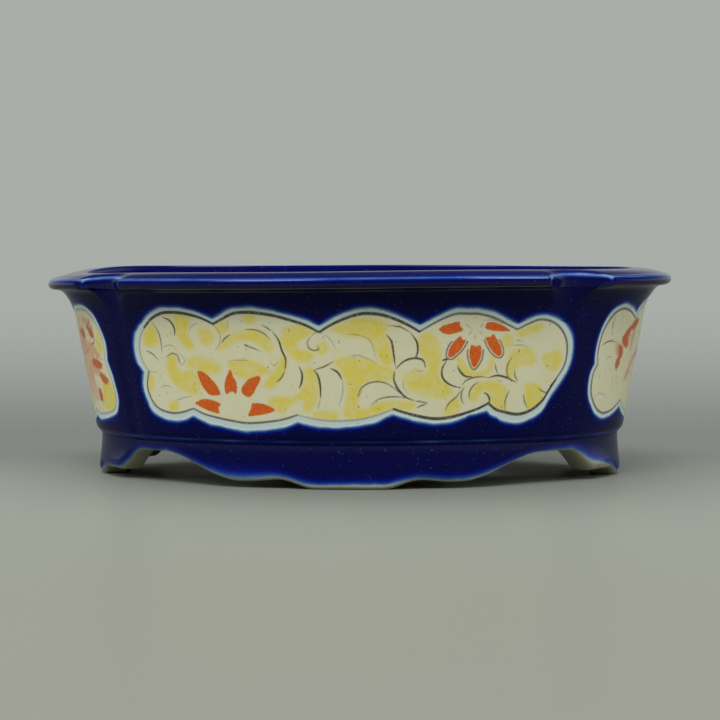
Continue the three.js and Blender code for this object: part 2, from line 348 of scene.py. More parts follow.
# Ink strokes by how hard the brush pressed, with their half-width and darkness
PRESSURES = {"firm": (0.23, 0.95), "plain": (0.18, 0.78), "light": (0.15, 0.42), "dot": (0.16, 1)}
FRONT_OUTLINE = ("light", "firm", "firm", "firm", "plain", "plain")
FRONT_OUTLINE += ("firm", "firm", "light", "plain", "plain")
FRONT_INK = {
    "firm": [
        [(-41.2, 35.8), (-39.3, 35), (-38.4, 33.4), (-38.5, 31.8)],
        [(-16.1, 32.9), (-14.9, 31.1), (-14.3, 28.9), (-13.6, 27), (-13.9, 24.6)],
        [(-10.9, 25.6), (-10.3, 24.1), (-10.4, 22.4), (-11, 20.9)],
        [(-7.8, 24.8), (-6.9, 23.5), (-6.5, 21.3), (-6.5, 18.9)],
        [(-4.4, 25.2), (-2.8, 24.3), (-1.8, 22.6)],
        [(7.2, 32.2), (8.3, 30.6), (8.8, 28.1), (9.2, 25.4)],
        [(12.2, 32.4), (13.5, 30.5), (13.8, 28.6), (13.4, 27.1)],
        [(9.3, 24.9), (11, 26.5), (13.2, 27.1), (15, 26.6), (15.6, 25)],
        [(9.1, 24.5), (9, 22.6), (10, 20.6), (11.6, 19), (13.5, 18.2)],
        [(19, 26.6), (20.4, 26.8)],
        [(19.9, 26.3), (19.2, 25), (19.2, 23.4), (20.1, 22.1), (21.7, 21.2), (23.8, 20.7)],
        [(22.4, 25.5), (23.1, 24.2), (24.3, 23.2), (25.9, 23)],
        [(15.7, 14.4), (18.8, 14.3), (22, 14.6), (25.1, 15.2)],
        [(29.6, 22.8), (31.6, 23.2), (33.8, 22.7), (36.3, 21.6)],
        [(28.7, 19.7), (29.7, 19.2), (30.3, 18.1), (30.1, 17.2)],
        [(46.6, 21.9), (45.5, 20.8), (45.2, 20)],
    ],
    "plain": [
        [(-44.1, 34.7), (-42.8, 32.7), (-42.4, 30.6), (-42.5, 28.2)],
        [(-47.1, 28.5), (-45.3, 27.8), (-43.7, 26.3)],
        [(-41.4, 27.1), (-39.9, 28), (-38.5, 27.5), (-38.2, 26.3), (-37.6, 25.4)],
        [(-27.3, 30.4), (-26.5, 31.4), (-25.2, 32.2)],
        [(-22.3, 30.2), (-21, 29.5)],
        [(-18.3, 34.3), (-17.1, 33.6), (-16.1, 32.9)],
        [(-21.9, 33.3), (-19.7, 33.2), (-17.8, 32.4), (-16.5, 30.9)],
        [(-22.6, 30), (-20.8, 29.5), (-18.9, 28.7)],
        [(-13.9, 24.6), (-14.7, 23.2), (-15.9, 22.1)],
        [(-8.3, 31.6), (-8.9, 30.5), (-8.6, 29.4), (-7.6, 28.9), (-6.6, 29.2), (-6.9, 30)],
        [(-7.8, 24.8), (-5.6, 25.5), (-3.6, 26.6)],
        [(7.4, 34), (10.1, 33.6), (12.2, 32.4)],
        [(13.5, 18.2), (16.6, 17.7)],
        [(1.3, 19.1), (2.2, 21), (4.1, 22.1), (6.4, 22.2), (8.5, 21.3), (11.3, 19)],
        [(5.1, 18.3), (6.9, 18.9), (9.3, 19.1), (11.4, 18.8)],
        [(14, 16.7), (15.2, 17.2), (16.3, 17.5)],
        [(20.4, 16.1), (21.1, 17.5), (22.6, 18.8), (23.4, 20.1)],
        [(24.3, 20.9), (23.7, 19.6), (23.9, 18.2), (24.6, 17.2)],
        [(23.7, 21.3), (24.8, 22.4), (27.1, 23), (29.7, 22.8)],
        [(25.7, 18.2), (25.5, 19.6), (26.1, 21), (27.4, 22)],
        [(30.7, 25.8), (31.1, 24.6), (31.6, 23.6)],
        [(34.6, 27.1), (33.7, 25.3), (33.8, 23.6), (34.5, 22.6)],
        [(35.5, 24.3), (35.8, 22.9), (36.7, 21.9)],
        [(34.8, 20), (34.1, 18.2), (34.2, 15.7)],
        [(38.4, 19.3), (38.8, 17.7), (39.9, 16)],
        [(42, 20.4), (43.2, 19.6), (44.9, 19.2)],
    ],
    "light": [
        [(-42.5, 29), (-40.8, 29.7), (-39.4, 29.6), (-38.4, 28.7)],
        [(-37.6, 25.4), (-36.8, 26.4), (-37.3, 27.5), (-38.5, 28.3)],
        [(-34.7, 32.8), (-34, 33.9), (-32.5, 34.6)],
        [(-29.1, 34.3), (-27.9, 33.1), (-27.5, 31.4), (-28, 30), (-29.1, 28.8)],
        [(-25.6, 35.2), (-25.7, 33.2)],
        [(-22.9, 35.7), (-22.3, 34.6)],
        [(-44.5, 20.5), (-42.6, 21), (-40.9, 20.5)],
        [(-47.6, 24.1), (-45, 23.8)],
        [(-26.5, 26.6), (-23.5, 26.8), (-21.5, 26.7)],
        [(-40.6, 17.8), (-38.2, 18.5), (-36.2, 18.9)],
        [(-5.8, 32.5), (-4.2, 31.2), (-2.8, 28.5)],
        [(-1.8, 22.6), (-1.8, 19.9), (-2.7, 17)],
        [(-6.5, 18.9), (-7.2, 16.3)],
        [(-0.7, 32.2), (1, 32.2), (2.4, 31.8)],
        [(-0.1, 27.8), (2.4, 27.9)],
        [(-8.3, 31.6), (-7.2, 32.6), (-5.8, 32.5)],
        [(1.6, 18.9), (1.9, 19.9), (2.4, 20.6)],
        [(-17, 26.7), (-16.2, 25.7), (-15.2, 26.5)],
        [(-0.1, 32.2), (2.2, 31.9), (4, 30.8), (4.7, 28.9), (5.3, 26.7)],
        [(-0.2, 27.7), (1.8, 27.7), (4.1, 26.8), (5.6, 25.8)],
        [(10.9, 22.5), (11.1, 21), (12.4, 19.5)],
        [(12.9, 25), (14.3, 24.4), (15.6, 24.5)],
        [(4.3, 17.1), (4.8, 17.9), (5.7, 18.1)],
        [(25.5, 20.1), (25.5, 18.8), (26, 18.1)],
        [(33.9, 29.4), (36.5, 29.5), (38.7, 28.8)],
        [(35.1, 30.6), (36.9, 30.3)],
        [(27.1, 34.8), (29.5, 34.8), (32.1, 33.8)],
        [(23.4, 34), (24.2, 33.6), (24.9, 33)],
        [(27.4, 34.3), (27, 33.7), (26.6, 33.2)],
        [(24.3, 31.7), (24.6, 32.2), (25, 32.7)],
        [(27.4, 31.9), (26.9, 32.3), (26.5, 32.7)],
        [(25.8, 30.7), (25.8, 31.4), (25.8, 32.1)],
    ],
}

# Yellow washes, as closed outlines
FRONT_WASHES = [
    [(-46.8, 31.6), (-45.9, 33.2), (-44.2, 34.2), (-43.4, 33), (-43.2, 31.2), (-44, 29.9),
     (-46.2, 29.5), (-47.1, 30.2)],
    [(-37.9, 36), (-35.9, 36.3), (-34.3, 35.9), (-34.8, 34.3), (-35.4, 32.7), (-35, 31.3),
     (-34.2, 29.6), (-35.6, 29.3), (-36.9, 30.3), (-37.9, 32.3), (-38.1, 34.1)],
    [(-32.4, 32.7), (-30.6, 33), (-29.5, 32.3), (-29.5, 30.9), (-30.6, 29.9), (-32, 30.7)],
    [(-41.4, 26.6), (-40, 27.6), (-39, 26.8), (-39, 24.9), (-37.8, 23.7), (-35.9, 24.3),
     (-34.3, 23.6), (-33.6, 21.6), (-34.6, 19.7), (-37, 19.8), (-39.4, 21), (-40.9, 22.6),
     (-41.5, 24.6)],
    [(-36, 26.5), (-33.1, 27.2), (-30, 26.5), (-28.3, 25.5), (-29.1, 24.1), (-31.3, 23.9),
     (-33.8, 24.7), (-35.7, 25.3)],
    [(-47.5, 23.3), (-46.3, 23.1), (-46.3, 21.3), (-47.3, 19.8), (-47.9, 21.2)],
    [(-42.4, 17.1), (-40.5, 17.5), (-40.3, 16.2), (-42.1, 15.6)],
    [(-28.4, 34), (-27.4, 34.6), (-26.3, 34.4), (-26, 33.2), (-27, 32.4), (-28, 32.9)],
    [(-28.3, 29), (-26.5, 30.8), (-24.3, 32.2), (-21.3, 32.9), (-18.9, 32.7), (-17.2, 31.4),
     (-16.4, 29.8), (-16.7, 28.7), (-17.7, 29), (-18.8, 30.1), (-20.7, 31), (-23.1, 31),
     (-25.7, 30)],
    [(-26.3, 25.9), (-24, 26.5), (-21.5, 26.6), (-19, 25.6), (-17.4, 24.5), (-19.6, 23.6),
     (-21.8, 23.1), (-23.9, 23.4), (-25.8, 24.4)],
    [(-18.4, 21.4), (-17.1, 23.4), (-15.4, 25.8), (-14.3, 27.4), (-13.6, 26.7), (-14.1, 24.6),
     (-15.4, 22.5), (-17.2, 21)],
    [(-13.8, 32.9), (-11.9, 33.8), (-9.5, 34), (-7.8, 33.4), (-8.5, 32.2), (-10, 31.5),
     (-11.2, 30.5), (-10.8, 29), (-9.3, 28.7), (-7.9, 28.1), (-8.5, 26.8), (-10.2, 26.6),
     (-12, 27.6), (-13.3, 29), (-14.2, 30.9)],
    [(-6.8, 29.8), (-5.5, 30.5), (-4.9, 29.3), (-5.8, 28.1), (-6.8, 28.7)],
    [(-9.8, 24.7), (-8.5, 25.2), (-7.4, 23.5), (-7.1, 21.1), (-7.4, 18.7), (-8.3, 16.7),
     (-10, 16.4), (-10, 18.4), (-11.1, 18.5), (-13.9, 17.1), (-15, 15.9), (-16.9, 16.7),
     (-17.7, 18.3), (-15.7, 18.9), (-12.6, 18.9), (-10.6, 20.2), (-9.8, 22.3)],
    [(-8.1, 15.5), (-5.8, 15.9), (-3.4, 15.5), (-3.2, 14.6), (-5.6, 14.4), (-8, 14.8)],
    [(-21.8, 36.2), (-20.3, 36.4), (-19.7, 35.4), (-20.8, 34.6), (-21.8, 35.2)],
    [(-3.7, 33.2), (-1.2, 34.6), (2.2, 35.3), (5.6, 34.9), (7.3, 33.7), (6.7, 32.5), (7.3, 31),
     (8.1, 28.8), (8.4, 26.5), (7.2, 25.7), (6.4, 26.5), (5.4, 28.5), (4.3, 30.4), (2.4, 31.8),
     (-0.1, 32), (-2, 32.6)],
    [(-3.2, 26.4), (-1.3, 27.2), (2.2, 27), (4.1, 26.5), (5.7, 25.6), (8, 25), (8.9, 23.8),
     (8.1, 22.8), (6.3, 22.5), (4.1, 22.6), (2.3, 21.5), (1.4, 19.5), (1.4, 16.8), (2.4, 16.1),
     (1.4, 14.8), (-0.2, 14.6), (-1.4, 15.2), (-1.3, 16.9), (-0.7, 19.5), (-1.1, 22.7), (-2.1, 25)],
    [(-0.3, 15.5), (2.1, 16.1), (4.5, 17.1), (6.9, 17.9), (10.1, 18), (13.2, 17.6), (13, 16.7),
     (10.1, 16.6), (6.9, 15.9), (3.7, 14.9), (-0.3, 14.4)],
    [(13.9, 30.7), (15.1, 32.1), (16.7, 31.6), (18.1, 29.9), (18.5, 27.1), (18.2, 24.4),
     (18.8, 22.5), (21.3, 20.5), (21, 19.3), (18.6, 18.9), (15.7, 19.4), (12.9, 20.5), (11.3, 22.1),
     (11.5, 23.3), (13.1, 24.4), (15.2, 23.7), (16.4, 24.8), (15.4, 27.1), (14.2, 28.8)],
    [(20.8, 17.3), (22.1, 18.7), (23.3, 17.8), (23.2, 16.1), (21.7, 15.1), (20.3, 15.7)],
    [(22.2, 26.9), (23, 26.7), (24.1, 25.2), (26, 24), (27.7, 23.8), (29.2, 24.6), (29.6, 26.4),
     (30.3, 27.3), (30.1, 25.4), (29.4, 23.9), (27.3, 23.2), (25.2, 23.4), (23.4, 24.3)],
    [(32, 30.5), (32.8, 31.5), (34, 30.8), (33.9, 29.3), (32.7, 29.5)],
    [(35.2, 31.9), (37.8, 33.1), (40.5, 33.8), (40.7, 32.8), (38.5, 32.1), (36.3, 31.4)],
    [(34.3, 28.1), (35.8, 28.7), (38.5, 28.4), (40.1, 27.2), (39.8, 25.6), (37.1, 25.5),
     (35.5, 24.4), (35.1, 23), (34, 23.4), (33.8, 26.1)],
    [(42.2, 26.8), (43.8, 27.5), (46.4, 27.9), (47.4, 26.2), (46, 24.3), (43.5, 24.7)],
    [(38.6, 20.9), (41, 21.1), (42.9, 20), (43, 17.6), (41.8, 16.1), (40.1, 16), (39.2, 18.1)],
    [(25.9, 19.9), (27.1, 21.3), (29.5, 21.9), (31.8, 21.5), (33.8, 20.2), (34, 17.9), (34, 16),
     (32.4, 16.3), (30.9, 17.2), (30.5, 19.5), (28.9, 20.2), (27.5, 19.2), (26.9, 18), (26, 18.5)],
]

# Petals, as closed outlines; the last three hang down and have an ink line round them
FRONT_PETALS = [
    [(-34.1, 24.2), (-32.4, 24.1), (-30.3, 22.3), (-29, 20.3), (-29.1, 19.3), (-31.4, 19.2),
     (-32.7, 20.4), (-33.6, 22.2)],
    [(-26.1, 24.9), (-25.4, 23.3), (-24.8, 21.8), (-25.1, 19.6), (-26.1, 20.1), (-27.3, 19.5),
     (-27.8, 20.1), (-27.6, 21.9), (-26.9, 23.5)],
    [(-19.7, 23.6), (-19.3, 22.8), (-20.3, 21), (-21.3, 19.6), (-22.4, 18.9), (-23.8, 19.8),
     (-23.7, 21), (-22.5, 22.4), (-20.9, 23.3)],
    [(-35.6, 17.3), (-33.4, 18.3), (-31.1, 18.2), (-29.1, 17.4), (-29.7, 16.5), (-29.7, 15.3),
     (-31.9, 15.7), (-33.9, 16.4)],
    [(-21.8, 17.6), (-19.7, 17.7), (-17.9, 17.2), (-16.5, 16.2), (-18.2, 15.5), (-20.4, 15.1),
     (-22.8, 14.9), (-22.1, 16.4)],
    [(17.8, 33), (19.4, 34), (22.1, 34.6), (22.4, 33.7), (23.1, 32.8), (21.7, 32.2), (20, 31.9),
     (18.6, 32.4)],
    [(28.1, 34.3), (29.7, 34.4), (31.9, 33.6), (33.6, 32.5), (32, 32.4), (30.1, 32.5), (28.5, 32.8),
     (27.6, 33.4)],
    [(20.3, 27.2), (20.3, 28.7), (21.2, 30.4), (22.6, 31.6), (23.2, 30.9), (23.9, 30.8), (23.1, 29),
     (21.8, 27.7), (21.1, 27.1)],
    [(25, 29.8), (26.1, 29.4), (27, 29.7), (27.5, 28.2), (27.2, 26.4), (26.1, 24.9), (25.1, 26.5),
     (24.7, 28.2)],
    [(28, 31.2), (29.1, 31.4), (29.7, 31.9), (30.8, 30.7), (31.8, 29.1), (32.1, 27.7), (31.3, 27.3),
     (30, 28.1), (28.8, 29.6)],
]
HANGING_PETALS = FRONT_PETALS[-3:]
YELLOW_DOT = (9.9, 33.9)
# Where dark specks of iron show in every panel
SPECKS = [
    (-40.5, 31.7), (-42.6, 19.3), (-33.6, 19.5), (-45.1, 23.8), (-12.7, 33.4), (-12.6, 32.9),
    (-17.5, 25.3), (-13.7, 36.8), (1.8, 26.7), (1.6, 17), (1.4, 13.5), (5.7, 16.6), (1.5, 17),
    (3.4, 37.5), (33.3, 16.6), (32.5, 22),
]

RIGHT_INK = {
    "plain": [
        [(-28.7, 21.8), (-28.4, 19.2), (-27.2, 16.9)],
        [(-23.9, 35.1), (-24.3, 33.2), (-23.8, 30.7)],
        [(-27.1, 28.9), (-25.9, 29.5), (-23.8, 29.8), (-21.2, 29.3)],
        [(3, 35.5), (7, 33.5), (8.5, 30), (6, 27.5), (3.5, 28.5)],
        [(12, 34.5), (14.5, 31), (12.5, 26.5), (10, 23)],
        [(-6, 17.5), (-3, 20.5), (1, 20.5), (3.5, 18)],
        [(18, 35), (20.5, 31.5), (24.5, 30.5)],
        [(6.5, 22.5), (8.5, 19), (12, 17.5)],
        [(26.5, 24), (23, 22.5), (20.5, 19), (21, 16.5)],
    ],
    "light": [
        [(-21.4, 36.5), (-20.7, 34.8), (-20.1, 33.2)],
        [(-24.7, 25.8), (-23.4, 26.4), (-21.7, 26.1)],
        [(-26.7, 17.6), (-25.5, 18.5), (-23.1, 18.1), (-21.6, 17.1)],
        [(-21.5, 22.6), (-19.8, 19.9), (-19.3, 17.5)],
        [(-24, 23.7), (-23.5, 22.1)],
        [(-26.1, 22.8), (-26.2, 21.5)],
        [(-19, 23.5), (-18.2, 21.1), (-16.5, 18.7)],
        [(14, 17), (16.5, 20.5), (15.5, 24)],
        [(23, 16.5), (25.5, 19), (26, 21.5)],
        [(-2, 37), (-3.5, 35), (-5, 34)],
        [(15.5, 35), (17, 33), (17.5, 31)],
        [(22, 34.5), (24, 33), (25.5, 31.5)],
    ],
}
RIGHT_DABS = [
    [(-10.5, 33.9), (-12.7, 33.2), (-15.2, 32.2)],
    [(-15.4, 32.5), (-17.2, 30.6), (-18.4, 29.6)],
    [(-18.8, 30.2), (-17.1, 29.5), (-15.4, 28.5)],
    [(-19.6, 28.4), (-18.4, 27.1), (-18.5, 26.1)],
    [(-19.1, 26), (-19.2, 24.8), (-19.3, 23.9)],
]
RIGHT_BLUSH = [
    [(-11.8, 32.8), (-12.8, 30.6), (-12.7, 27.7)],
    [(-15.8, 31.5), (-15.8, 29.4)],
    [(-6.2, 26.6), (-9.7, 24.7), (-11.2, 22.6), (-13.5, 20.8)],
    [(-20.7, 28.8), (-19.9, 27.2)],
]
RIGHT_WASHES = [
    [(-5, 36.5), (-1, 36.8), (-1, 33), (-4, 32)],
    [(-3, 20.5), (1, 20), (4, 17.5), (0, 15.2), (-4, 16.2)],
    [(9, 26.5), (12, 25), (11.5, 31), (7.5, 33)],
    [(17, 27), (24, 27.5), (25, 22), (18, 20.5)],
]

LEFT_INK = {
    "plain": [
        [(-20.1, 35.2), (-18.7, 33.7), (-17, 32.7)],
        [(-21.5, 31), (-20.1, 29.7), (-18, 29.3)],
        [(-5, 16.5), (-2, 19.5), (3, 19.5), (5, 17)],
        [(3, 34), (7.5, 32.5), (8.5, 29), (6, 27)],
        [(12.5, 35), (16, 31.5), (19.5, 31)],
        [(12, 22), (9, 19.5), (9.5, 16.5)],
        [(17, 15.5), (19.5, 18.5), (23.5, 19.5)],
    ],
    "light": [
        [(-19.8, 27.9), (-20.8, 27), (-19.8, 26.1)],
        [(-22.3, 35.3), (-23.9, 33.1), (-25.1, 30.3)],
        [(-10.6, 26.7), (-14.1, 27.7), (-17.2, 28.5)],
        [(-12.4, 30.4), (-8.5, 28.9), (-9.9, 27.9)],
        [(-20, 16.7), (-18.5, 15.7)],
        [(-12, 22.2), (-14.1, 20.9), (-14.7, 19.4)],
        [(18.5, 16.5), (21, 20), (19.5, 24)],
    ],
}
# Petals of the end panels that the photograph does not show
MIDDLE_DABS = [
    [(-5, 31.5), (-3.5, 30), (-2, 28.5)],
    [(0, 33), (0, 31), (0, 29.2)],
    [(-6.5, 26.5), (-4.5, 26.7), (-2.5, 27)],
]
LEFT_DABS = [
    [(-11.7, 32.1), (-13.8, 31.7), (-14.7, 31.3)],
    [(-18.6, 32.7), (-19.6, 31.9), (-20.6, 31.3)],
    [(-17, 25.4), (-20.1, 25), (-22.3, 24.7)],
    [(-20.6, 22.6), (-22.2, 21.8), (-24, 21.3)],
    [(-18.4, 19.1), (-18.6, 18), (-18.7, 17)],
]
LEFT_BLUSH = [
    [(x, 35.5), (x + 1.2, 31), (x - 2.4, 26.5), (x + 0.4, 21.5), (x - 2.6, 17)]
    for x in (-7, -9.8, -12.6, -15.4)
]
LEFT_BLUSH += [
    [(-16, 35.2), (-18.3, 33.9), (-20.5, 32.4)],
    [(-16.4, 29.8), (-19.6, 28.4), (-22, 26.8)],
    [(-16, 24), (-19, 23.7), (-21, 23)],
]
LEFT_WASHES = [
    [(-22.7, 31.9), (-23.8, 31.1), (-24.1, 28.9), (-23.5, 27.8), (-22.2, 28.4), (-22, 30.2)],
    [(-21, 20.4), (-24.8, 20.9), (-26.3, 18.3), (-25.7, 16.1), (-23.2, 14.9), (-19.7, 15.6),
     (-20.4, 18.1)],
    [(6, 33.5), (12, 33), (11, 27.5), (7.5, 28.5)],
    [(14, 21), (20, 21.5), (22, 17), (15, 16)],
]


def curve_through(points, per_span=10):
    """Smooth line through a few points."""
    points = np.asarray(points, float)
    ends = 2 * points[:1] - points[1:2], 2 * points[-1:] - points[-2:-1]
    points = np.concatenate([ends[0], points, ends[1]])
    t = np.linspace(0, 1, per_span, endpoint=False)[:, None]
    spans = []
    for a, b, c, d in zip(points, points[1:], points[2:], points[3:]):
        bend = (2 * a - 5 * b + 4 * c - d) * t**2 + (3 * b - a - 3 * c + d) * t**3
        spans.append(b + (c - a) * t / 2 + bend / 2)
    return np.concatenate(spans + [points[-2:-1]])


def taper(least, power=1.0):
    """Width over a stroke's length, from this share of the whole at its ends."""

    def width(share):
        return least + (1 - least) * np.sin(math.pi * np.clip(share, 0, 1)) ** power

    return width


POINTED = taper(0.35, 0.7)
BLUNT = taper(0.75)
EVEN = taper(1)
NEAR = 3.0  # how far round a stroke or an area its distance is worked out
FAR = 9.0  # a distance that means nowhere near


def paint(places, line, half_width, width, best):
    """Lays one stroke on the places: keeps in best, for each place, the least distance from the
    edge of any stroke so far. Returns where this stroke is the nearest."""
    reach = half_width + NEAR
    low, high = line.min(0) - reach, line.max(0) + reach
    near = np.flatnonzero(((places > low) & (places < high)).all(1))
    start, side = line[:-1], np.diff(line, axis=0)
    offset = places[near, None] - start
    share = np.clip((offset * side).sum(-1) / np.maximum((side**2).sum(-1), 1e-9), 0, 1)
    gap = np.linalg.norm(offset - share[..., None] * side, axis=-1)
    along = (np.arange(len(side)) + share) / len(side)
    edge = (gap - half_width * width(along)).min(1)
    nearer = edge < best[near]
    best[near[nearer]] = edge[nearer]
    return near[nearer]


def area_distance(places, loop, reach=50.0):
    """Distance from a closed outline, negative inside, up to a reach."""
    best = np.full(len(places), reach)
    near = np.flatnonzero(((places > loop.min(0) - reach) & (places < loop.max(0) + reach)).all(1))
    spots, edge = places[near], np.full(len(near), reach)
    closed = np.concatenate([loop, loop[:1]])
    at_a_time = 24
    for first in range(0, len(loop), at_a_time):
        some = closed[first : first + at_a_time + 1]
        paint(spots, some, reach, lambda share: 0 * share, edge)
    inside = np.zeros(len(spots), bool)
    for (x0, y0), (x1, y1) in zip(closed, closed[1:]):
        if y0 != y1:
            spans = (y0 > spots[:, 1]) != (y1 > spots[:, 1])
            crossing = x0 + (spots[:, 1] - y0) / (y1 - y0) * (x1 - x0)
            inside ^= spans & (spots[:, 0] < crossing)
    best[near] = np.where(inside, -edge, edge)
    return best


def closed_curve(points, per_span=6):
    """Smooth closed line through a few points."""
    points = list(points)
    line = curve_through(points[-2:] + points + points[:2], per_span)
    return line[2 * per_span : -2 * per_span]


def both_halves(lines):
    """Lines of a panel's near half with their mirror images after them, in order round it."""
    far_half = [[(-x, height) for x, height in reversed(line)] for line in reversed(lines)]
    return lines + far_half


# Where the white margin is wider: middle, reach along and up, and by how much
FRONT_MARGINS = [
    ((-23, 13), (11, 3), 0.35),
    ((-43, 14), (6, 3), 0.3),
    ((-51, 29), (3, 4), 0.3),
    ((37, 13), (8, 4), 0.4),
    ((17, 14), (11, 3), -0.35),
    ((29, 16), (4, 3), -0.35),
    ((0, 37), (60, 3), -0.3),
]
END_MARGINS = [((0, 26), (40, 20), -0.2)]
FRONT_PANEL = {
    "lobes": FRONT_LOBES,
    "pressures": FRONT_OUTLINE,
    "ink": FRONT_INK,
    "washes": FRONT_WASHES,
    "petals": FRONT_PETALS,
    "hanging": HANGING_PETALS,
    "dots": [[YELLOW_DOT, YELLOW_DOT]],
    "margins": FRONT_MARGINS,
}
RIGHT_PANEL = {
    "lobes": both_halves(RIGHT_LOBES),
    "pressures": 2 * ("light", "plain", "plain", "light"),
    "ink": RIGHT_INK,
    "washes": RIGHT_WASHES,
    "dabs": both_halves(RIGHT_DABS + MIDDLE_DABS),
    "blush": both_halves(RIGHT_BLUSH),
    "margins": END_MARGINS,
}
LEFT_PANEL = {
    "lobes": both_halves(LEFT_LOBES),
    "pressures": 2 * len(LEFT_LOBES) * ("light",),
    "ink": LEFT_INK,
    "washes": LEFT_WASHES,
    "dabs": both_halves(LEFT_DABS + MIDDLE_DABS),
    "blush": both_halves(LEFT_BLUSH),
    "margins": END_MARGINS,
}
OUTLINE_WEIGHT = 1.5  # how much wider than other strokes the panels' outlines are
DAB_HALF_WIDTH = 1.15
BLUSH_HALF_WIDTH = 1.3
DOT_RADIUS = 0.35
PETAL_LINE_GAP = 0.35  # between a hanging petal and the middle of its ink line
MARGIN = 1.2  # of white between a panel's outline and the blue glaze
MARGIN_RIPPLE = 0.16
GLAZE_EDGE_SLOPE = 1.25  # how fast the glaze gets deeper from there


def strokes(spots, lines, half_width, width=POINTED):
    """Distance from the nearest of some strokes, negative inside."""
    best = np.full(len(spots), FAR)
    for line in lines:
        paint(spots, curve_through(line), half_width, width, best)
    return best


def areas(spots, outlines):
    """Distance from the nearest of some closed outlines, negative inside."""
    best = np.full(len(spots), FAR)
    for outline in outlines:
        best = np.minimum(best, area_distance(spots, closed_curve(outline), NEAR))
    return best


def draw_panel(places, design, seed, layers, chosen):
    """Works out one panel's paint on the chosen places and puts it in the layers."""
    spots = places[chosen]
    lobes = [curve_through(lobe) for lobe in design["lobes"]]
    outline = area_distance(spots, np.concatenate([lobe[:-1] for lobe in lobes]))
    margin = MARGIN + MARGIN_RIPPLE * ripple(seed, *spots.T)
    for middle, reach, extra in design["margins"]:
        gap = np.abs((spots - middle) / reach)
        margin = margin + extra * (1 - ease(gap, 0.8, 1.1)).prod(1)

    ink, darkness = np.full(len(spots), FAR), np.zeros(len(spots))

    def stroke(line, pressure, width=POINTED, weight=1.0):
        half_width, dark = PRESSURES[pressure]
        darkness[paint(spots, line, half_width * weight, width, ink)] = dark

    for lobe, pressure in zip(lobes, design["pressures"]):
        stroke(lobe, pressure, BLUNT, OUTLINE_WEIGHT)
    for pressure, lines in design["ink"].items():
        for line in lines:
            stroke(curve_through(line), pressure)
    half_width, dark = PRESSURES["plain"]
    for petal in design.get("hanging", ()):
        ring = np.abs(areas(spots, [petal]) - PETAL_LINE_GAP) - half_width
        below = spots[:, 1] < max(height for _, height in petal) - 1
        darkness[below & (ring < ink)] = dark
        ink[below] = np.minimum(ink, ring)[below]
    for speck in SPECKS:
        stroke(np.array([speck, speck]), "dot", EVEN)

    drawn = {
        "outline": outline,
        "glaze": (outline - margin) * GLAZE_EDGE_SLOPE,
        "ink": ink,
        "darkness": darkness,
        "petals": areas(spots, design.get("petals", ())),
        "dabs": strokes(spots, design.get("dabs", ()), DAB_HALF_WIDTH),
        "blush": strokes(spots, design.get("blush", ()), BLUSH_HALF_WIDTH),
        "washes": areas(spots, design["washes"]),
        "dots": strokes(spots, design.get("dots", ()), DOT_RADIUS, EVEN),
    }
    for name, values in drawn.items():
        layers[name][chosen] = values


# Body wall

PAINT_LAYERS = ("outline", "glaze", "ink", "petals", "dabs", "blush", "washes", "dots")
PAINT_OVAL = wall_oval(PAINT_HEIGHT)
ROUND = arc_at(PAINT_OVAL, 360)
# Of each panel: middle along the wall, 1 or -1 where it is turned over, design and seed
PANELS = [
    (0, 1, FRONT_PANEL, 3),
    (ROUND / 4, 1, RIGHT_PANEL, 5),
    (ROUND / 2, -1, FRONT_PANEL, 7),
    (ROUND * 3 / 4, -1, LEFT_PANEL, 9),
]


def spaced(start, end, step):
    return np.linspace(start, end, max(int(round((end - start) / step)), 1), endpoint=False)


def wall_paint(along, rows):
    """The painting's layers on a grid of lengths round the wall and heights up it."""
    drawn = rows[:, None] - WALL_BOTTOM + DRAWN_BOTTOM
    places = np.stack(np.broadcast_arrays(along[None], drawn), -1).reshape(-1, 2)
    layers = {name: np.full(len(places), FAR) for name in PAINT_LAYERS}
    layers["darkness"] = np.zeros(len(places))
    for middle, side, design, seed in PANELS:
        local = (places[:, 0] - middle + ROUND / 2) % ROUND - ROUND / 2
        reach = max(abs(x) for lobe in design["lobes"] for x, _ in lobe) + 5
        chosen = np.flatnonzero(np.abs(local) < reach)
        turned = np.stack([side * local, places[:, 1]], -1)
        draw_panel(turned, design, seed, layers, chosen)
    return {name: values.reshape(len(rows), len(along)) for name, values in layers.items()}


